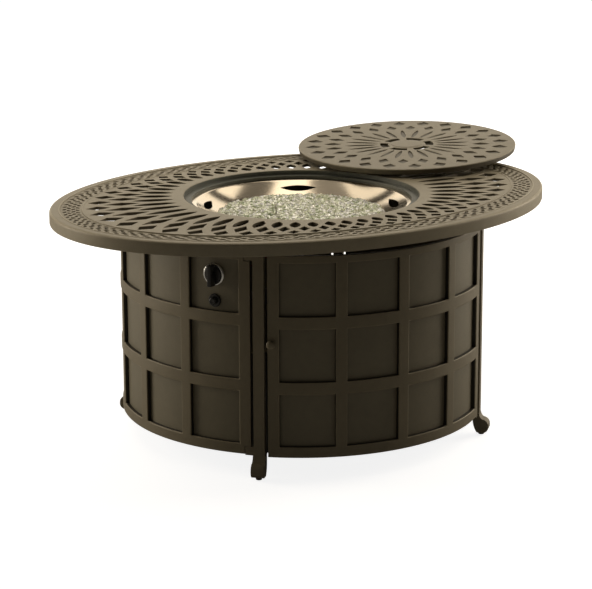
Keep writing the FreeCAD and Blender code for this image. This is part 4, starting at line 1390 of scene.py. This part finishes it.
def screwShape(name, size):
    # pan head with a round socket; the shank points up from the seat
    head, shank, depth, rise = (size[k] for k in ("head", "shank", "depth", "rise"))
    bm = newShape()
    spin(bm, [(0, depth), (shank * 0.8, depth), (shank, depth - 0.0008), (shank, 0),
              (head, 0), (head, -rise * 0.45), (head * 0.82, -rise * 0.9),
              (head * 0.62, -rise), (head * 0.42, -rise),
              (head * 0.40, -rise * 0.35), (0, -rise * 0.35)], 24)
    bmesh.ops.recalc_face_normals(bm, faces=bm.faces)
    return newPiece(name, bm, finish["zinc"], 35)


def makeRingTree():
    # copies of one shape at the corners of a drawn mesh, each turned outwards
    tree, given, out = newTree("copiesAtPoints", [
        ("Shape", "NodeSocketObject"), ("Scale", "NodeSocketFloat"),
        ("Finish", "NodeSocketMaterial")])
    shape = addNode(tree, "GeometryNodeObjectInfo", {"Object": given.outputs["Shape"]})
    spot = addNode(tree, "GeometryNodeInputPosition", {})
    apart = addNode(tree, "ShaderNodeSeparateXYZ", {0: spot.outputs[0]})
    turn = addMath(tree, "ARCTAN2", apart.outputs[1], apart.outputs[0])
    turned = addNode(tree, "ShaderNodeCombineXYZ", {"Z": turn})
    copies = addNode(tree, "GeometryNodeInstanceOnPoints", {
        "Points": given.outputs["Geometry"], "Instance": shape.outputs["Geometry"],
        "Rotation": turned.outputs[0], "Scale": given.outputs["Scale"]})
    giveCopies(tree, given, out, copies)
    return tree


def makeCopies(name, shape, spots, node):
    bm = newShape()
    for spot in spots:
        bm.verts.new(spot)
    piece = newPiece(name, bm, None)
    runTree(piece, ringTree, {"Shape": shape, "Scale": 1.0, "Finish": finish["zinc"]})
    bpy.data.objects.remove(shape)
    return stand(piece, node)


def topScrewAngles():
    # two by each leg, each under a bar of the lattice
    pitch = 2 * pi / tableTop["pitches"]
    angles = []
    for leg in glide["angles"].values():
        nearest = (round(radians(leg) / pitch - 0.5) + 0.5) * pitch
        angles += [nearest + way * screws["top"]["share"] * pitch for way in (-1, 1)]
    return angles


def screwPlaces():
    # reach and angles of each set
    count, head = screws["collar"]["count"], screws["shelf"]["head"]
    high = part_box("shelf_screws")[1]
    return {
        "top": (screws["top"]["radius"], topScrewAngles()),
        "collar": (screws["collar"]["radius"],
                   [2 * pi * (i + 0.5) / count for i in range(count)]),
        "shelf": (hypot(high[0] - head, high[1] - head),
                  [radians(a) for a in glide["angles"].values()]),
    }


def makeScrews():
    for kind, (reach, angles) in screwPlaces().items():
        size = screws[kind]
        shape = screwShape(kind + "Screw", size)
        if size["down"]:
            shape.data.transform(Matrix.Rotation(pi, 4, "X"))
        spots = [(*polar(reach, a), size["seat"]) for a in angles]
        makeCopies(kind + "Screws", shape, spots, kind + "_screws")


# door pull and hinge pins
doorPull = {"angle": -131.2, "height": 0.3545, "seat": 0.484, "neck": 0.0055,
            "head": 0.011, "neckLength": 0.009, "reach": 0.018}
hinge = {"radius": 0.4785, "angle": -48.79, "pin": 0.003, "low": 0.0545, "bottom": 0.058,
         "top": 0.580, "depth": 0.014, "plate": 0.0035}


def makeDoorFittings():
    p = doorPull
    seat, neck, head = p["seat"], p["neck"], p["head"]
    mid = seat + p["neckLength"]
    profile = [(0, seat - 0.0005), (neck + 0.002, seat - 0.0005),
               (neck + 0.002, seat + 0.0008), (neck + 0.0008, seat + 0.0022),
               (neck, seat + 0.0045), (neck, mid - 0.001),
               (neck + 0.0014, mid + 0.0006), (head - 0.0008, mid + 0.0022),
               (head, mid + 0.0035), (head - 0.0002, mid + 0.005),
               (head - 0.0022, mid + 0.007), (neck, mid + 0.0086), (0, seat + p["reach"])]
    pull = makeTurned("doorKnob", [profile], finish["panel"], 48,
                      pegPlacing(p["angle"], p["height"]), 50)
    stand(pull, "door_pull")
    h = hinge
    where = upright(h["radius"], h["angle"])
    pins = []
    for low, high in ((h["low"], h["bottom"] + h["depth"]),
                      (h["top"] - h["depth"], h["top"] + h["plate"])):
        pins.append([(0, low), (h["pin"] - 0.0006, low), (h["pin"], low + 0.0006),
                     (h["pin"], high - 0.0006), (h["pin"] - 0.0006, high), (0, high)])
    stand(makeTurned("hingePins", pins, finish["zinc"], 32, where), "hinge_pins")


# gas knob: ring, skirt and grip; igniter: threaded body, nut and button
knob = {
    "bezelIn": 0.0236, "bezelOut": 0.0295, "bezelDepth": 0.008, "radius": 0.0225,
    "start": 0.474, "skirt": 0.009, "gripLength": 0.056, "gripWidth": 0.015,
    "gripDepth": 0.022, "gripTaper": (0.97, 0.72), "gripRound": 0.003, "socket": 0.004,
}
igniter = {
    "bezel": 0.017, "bezelDepth": 0.005, "barrel": 0.0125, "length": 0.062,
    "button": 0.0095, "bore": 0.0096, "proud": 0.011, "stem": 0.020, "travel": 0.004,
    "nut": 0.017, "nutLength": 0.006, "thread": 0.00045, "threadPitch": 0.0021,
}


def makeKnob():
    k, seat = knob, controls["seat"]
    where = pegPlacing(controls["angle"], controls["knobHeight"])
    end = seat + k["bezelDepth"]
    profile = [(k["bezelIn"], seat), (k["bezelOut"], seat), (k["bezelOut"], end - 0.004),
               (k["bezelOut"] - 0.0008, end - 0.0016), (k["bezelOut"] - 0.0024, end - 0.0002),
               (k["bezelIn"] + 0.0012, end), (k["bezelIn"] + 0.0002, end - 0.0006),
               (k["bezelIn"], end - 0.0016)]
    stand(makeTurned("knobRing", [profile], finish["chrome"], 96, where, 50),
          "knob_bezel")

    front = k["start"] + k["skirt"]
    bm = newShape()
    spin(bm, [(k["socket"], k["start"]), (k["radius"] - 0.0005, k["start"]),
              (k["radius"], k["start"] + 0.0008), (k["radius"], front - 0.002),
              (k["radius"] - 0.0006, front - 0.0006), (k["radius"] - 0.002, front),
              (k["socket"], front)], 84, where)
    grip = bmesh.ops.create_cube(bm, size=1)["verts"]
    bmesh.ops.scale(bm, vec=(k["gripLength"], k["gripWidth"], k["gripDepth"]), verts=grip)
    for vert in grip:
        if vert.co.z > 0:
            vert.co.x *= k["gripTaper"][0]
            vert.co.y *= k["gripTaper"][1]
        vert.co.z += front + k["gripDepth"] / 2 - 0.0002
    edges = {e for v in grip for e in v.link_edges}
    made = bmesh.ops.bevel(bm, geom=list(edges), offset=k["gripRound"], segments=4,
                           profile=0.6, affect="EDGES", clamp_overlap=True)
    moved = {v for f in made["faces"] for v in f.verts}
    bmesh.ops.transform(bm, matrix=where, verts=list(moved))
    stand(closedPiece("knobGrip", bm, 40, finish["black"]), "gas_knob")


def makeIgniter():
    g, seat = igniter, controls["seat"]
    where = pegPlacing(controls["angle"], controls["buttonHeight"])
    face = seat + g["bezelDepth"]
    back = face - g["length"]
    boreEnd = face - g["stem"] - g["travel"] - 0.002
    profile = [(0, back), (g["barrel"] - 0.001, back)]
    turns = int((seat - 0.004 - back) / g["threadPitch"])
    for i in range(turns):
        start = back + 0.001 + i * g["threadPitch"]
        profile.append((g["barrel"] - g["thread"], start))
        profile.append((g["barrel"] - 0.0001, start + g["threadPitch"] / 2))
    profile += [(g["barrel"] - 0.0001, seat), (g["bezel"], seat),
                (g["bezel"], face - 0.002), (g["bezel"] - 0.0012, face - 0.0004),
                (g["bezel"] - 0.003, face), (g["bore"] + 0.0005, face),
                (g["bore"], face - 0.0005), (g["bore"], boreEnd), (0, boreEnd)]
    stand(makeTurned("igniterBarrel", [profile], finish["black"], 64, where, 40),
          "igniter_body")
    end = face + g["proud"]
    button = g["button"]
    profile = [(0, face - g["stem"]), (button, face - g["stem"]), (button, end - 0.003),
               (button - 0.0005, end - 0.0014), (button - 0.002, end - 0.0003),
               (button * 0.55, end - 0.0001), (button * 0.4, end - 0.0007),
               (0, end - 0.0010)]
    stand(makeTurned("igniterPush", [profile], finish["black"], 56, where, 45),
          "igniter_button")
    front = sqrt(panel["sheetInner"] ** 2 - g["nut"] ** 2)
    bm = newShape()
    inner = g["barrel"] + 0.0001
    flats = [[polar(g["nut"] * 0.985, pi / 3 * i) for i in range(6)],
             [polar(inner, pi / 3 * i / 4) for i in range(24)]]
    loops = []
    for z in (front - g["nutLength"], front):
        loops.append([addLoop(bm, [tuple(p) for p in ring], z) for ring in flats])
    bridge(bm, loops[0][0], loops[1][0])
    bridge(bm, loops[1][1], loops[0][1])
    fillBetween(bm, loops[1][0], [loops[1][1]], True)
    fillBetween(bm, loops[0][0], [loops[0][1]], False)
    bmesh.ops.transform(bm, matrix=where, verts=bm.verts)
    stand(closedPiece("igniterRingNut", bm, 30, finish["zinc"]), "igniter_nut")


# spark electrode: ribbed ceramic with a steel rod
electrode = {"reach": 0.092, "angle": -169.0, "rod": 0.0017, "ceramic": 0.0045,
             "foot": 0.008, "footThick": 0.0015, "floor": 0.5457, "tail": 0.014,
             "ceramicTop": 0.579, "top": 0.618, "ribs": 4}


def makeElectrode():
    e = electrode
    where = upright(e["reach"], e["angle"])
    low, floor, top = e["floor"] - e["tail"], e["floor"], e["ceramicTop"]
    profile = [(0, low), (e["ceramic"] - 0.0006, low), (e["ceramic"], low + 0.0006),
               (e["ceramic"], floor), (e["foot"], floor), (e["foot"], floor + e["footThick"]),
               (e["ceramic"], floor + e["footThick"])]
    for i in range(e["ribs"]):
        start = floor + 0.004 + (top - floor - 0.010) * i / e["ribs"]
        profile += [(e["ceramic"], start), (e["ceramic"] - 0.0008, start + 0.001),
                    (e["ceramic"] - 0.0008, start + 0.003), (e["ceramic"], start + 0.004)]
    profile += [(e["ceramic"], top - 0.001), (e["ceramic"] - 0.001, top), (0, top)]
    stand(makeTurned("electrodeCeramic", [profile], finish["ceramic"], 32, where),
          "electrode")
    rod = [(0, top - 0.002), (e["rod"], top - 0.002), (e["rod"], e["top"] - 0.0012),
           (e["rod"] * 0.6, e["top"] - 0.0002), (0, e["top"])]
    piece = makeTurned("electrodeRod", [rod], finish["rod"], 20, where, 50)
    place(piece, "base", slotOf("electrode"))


# ignition lead from the igniter to the electrode's foot
lead = {
    "radius": 0.0016, "length": 0.3578,
    "route": ((0.416, -149.4, 0.453), (0.366, -149.4, 0.453), (0.282, -155.4, 0.4857),
              (0.092, -169.0, 0.4857), (0.092, -169.0, 0.5317)),
}


def makeLead():
    data = bpy.data.curves.new("ignitionLead", "CURVE")
    data.dimensions = "3D"
    data.bevel_depth = lead["radius"]
    data.bevel_resolution = 4
    data.use_fill_caps = True
    line = data.splines.new("NURBS")
    points = [(*polar(r, radians(a)), z) for r, a, z in lead["route"]]
    line.points.add(len(points) - 1)
    for point, spot in zip(line.points, points):
        point.co = (*spot, 1)
    line.order_u = 3
    line.use_endpoint_u = True
    line.resolution_u = 24
    piece = bpy.data.objects.new("ignitionWire", data)
    scene.collection.objects.link(piece)
    data.materials.append(finish["lead"])
    stand(piece, "ignition_lead")


def dressNode(node, coat):
    slots = nodes[node].material_slots
    if not slots:
        nodes[node].data.materials.append(finish[coat])
    for slot in slots:
        slot.link = "OBJECT"
        slot.material = finish[coat]


makeLead()
ringTree = makeRingTree()
makePanels()
print("panels and door made")
for node, (coat, width) in castings.items():
    roundCasting(node, coat, width)
print("castings made:", len(castings))
makeGlides()
makeScrews()
makeDoorFittings()
makeKnob()
makeIgniter()
makeElectrode()
dressNode("gas_pipe", "pipe")
print("fittings made")
addCamera()
addStudio()
addFloor()
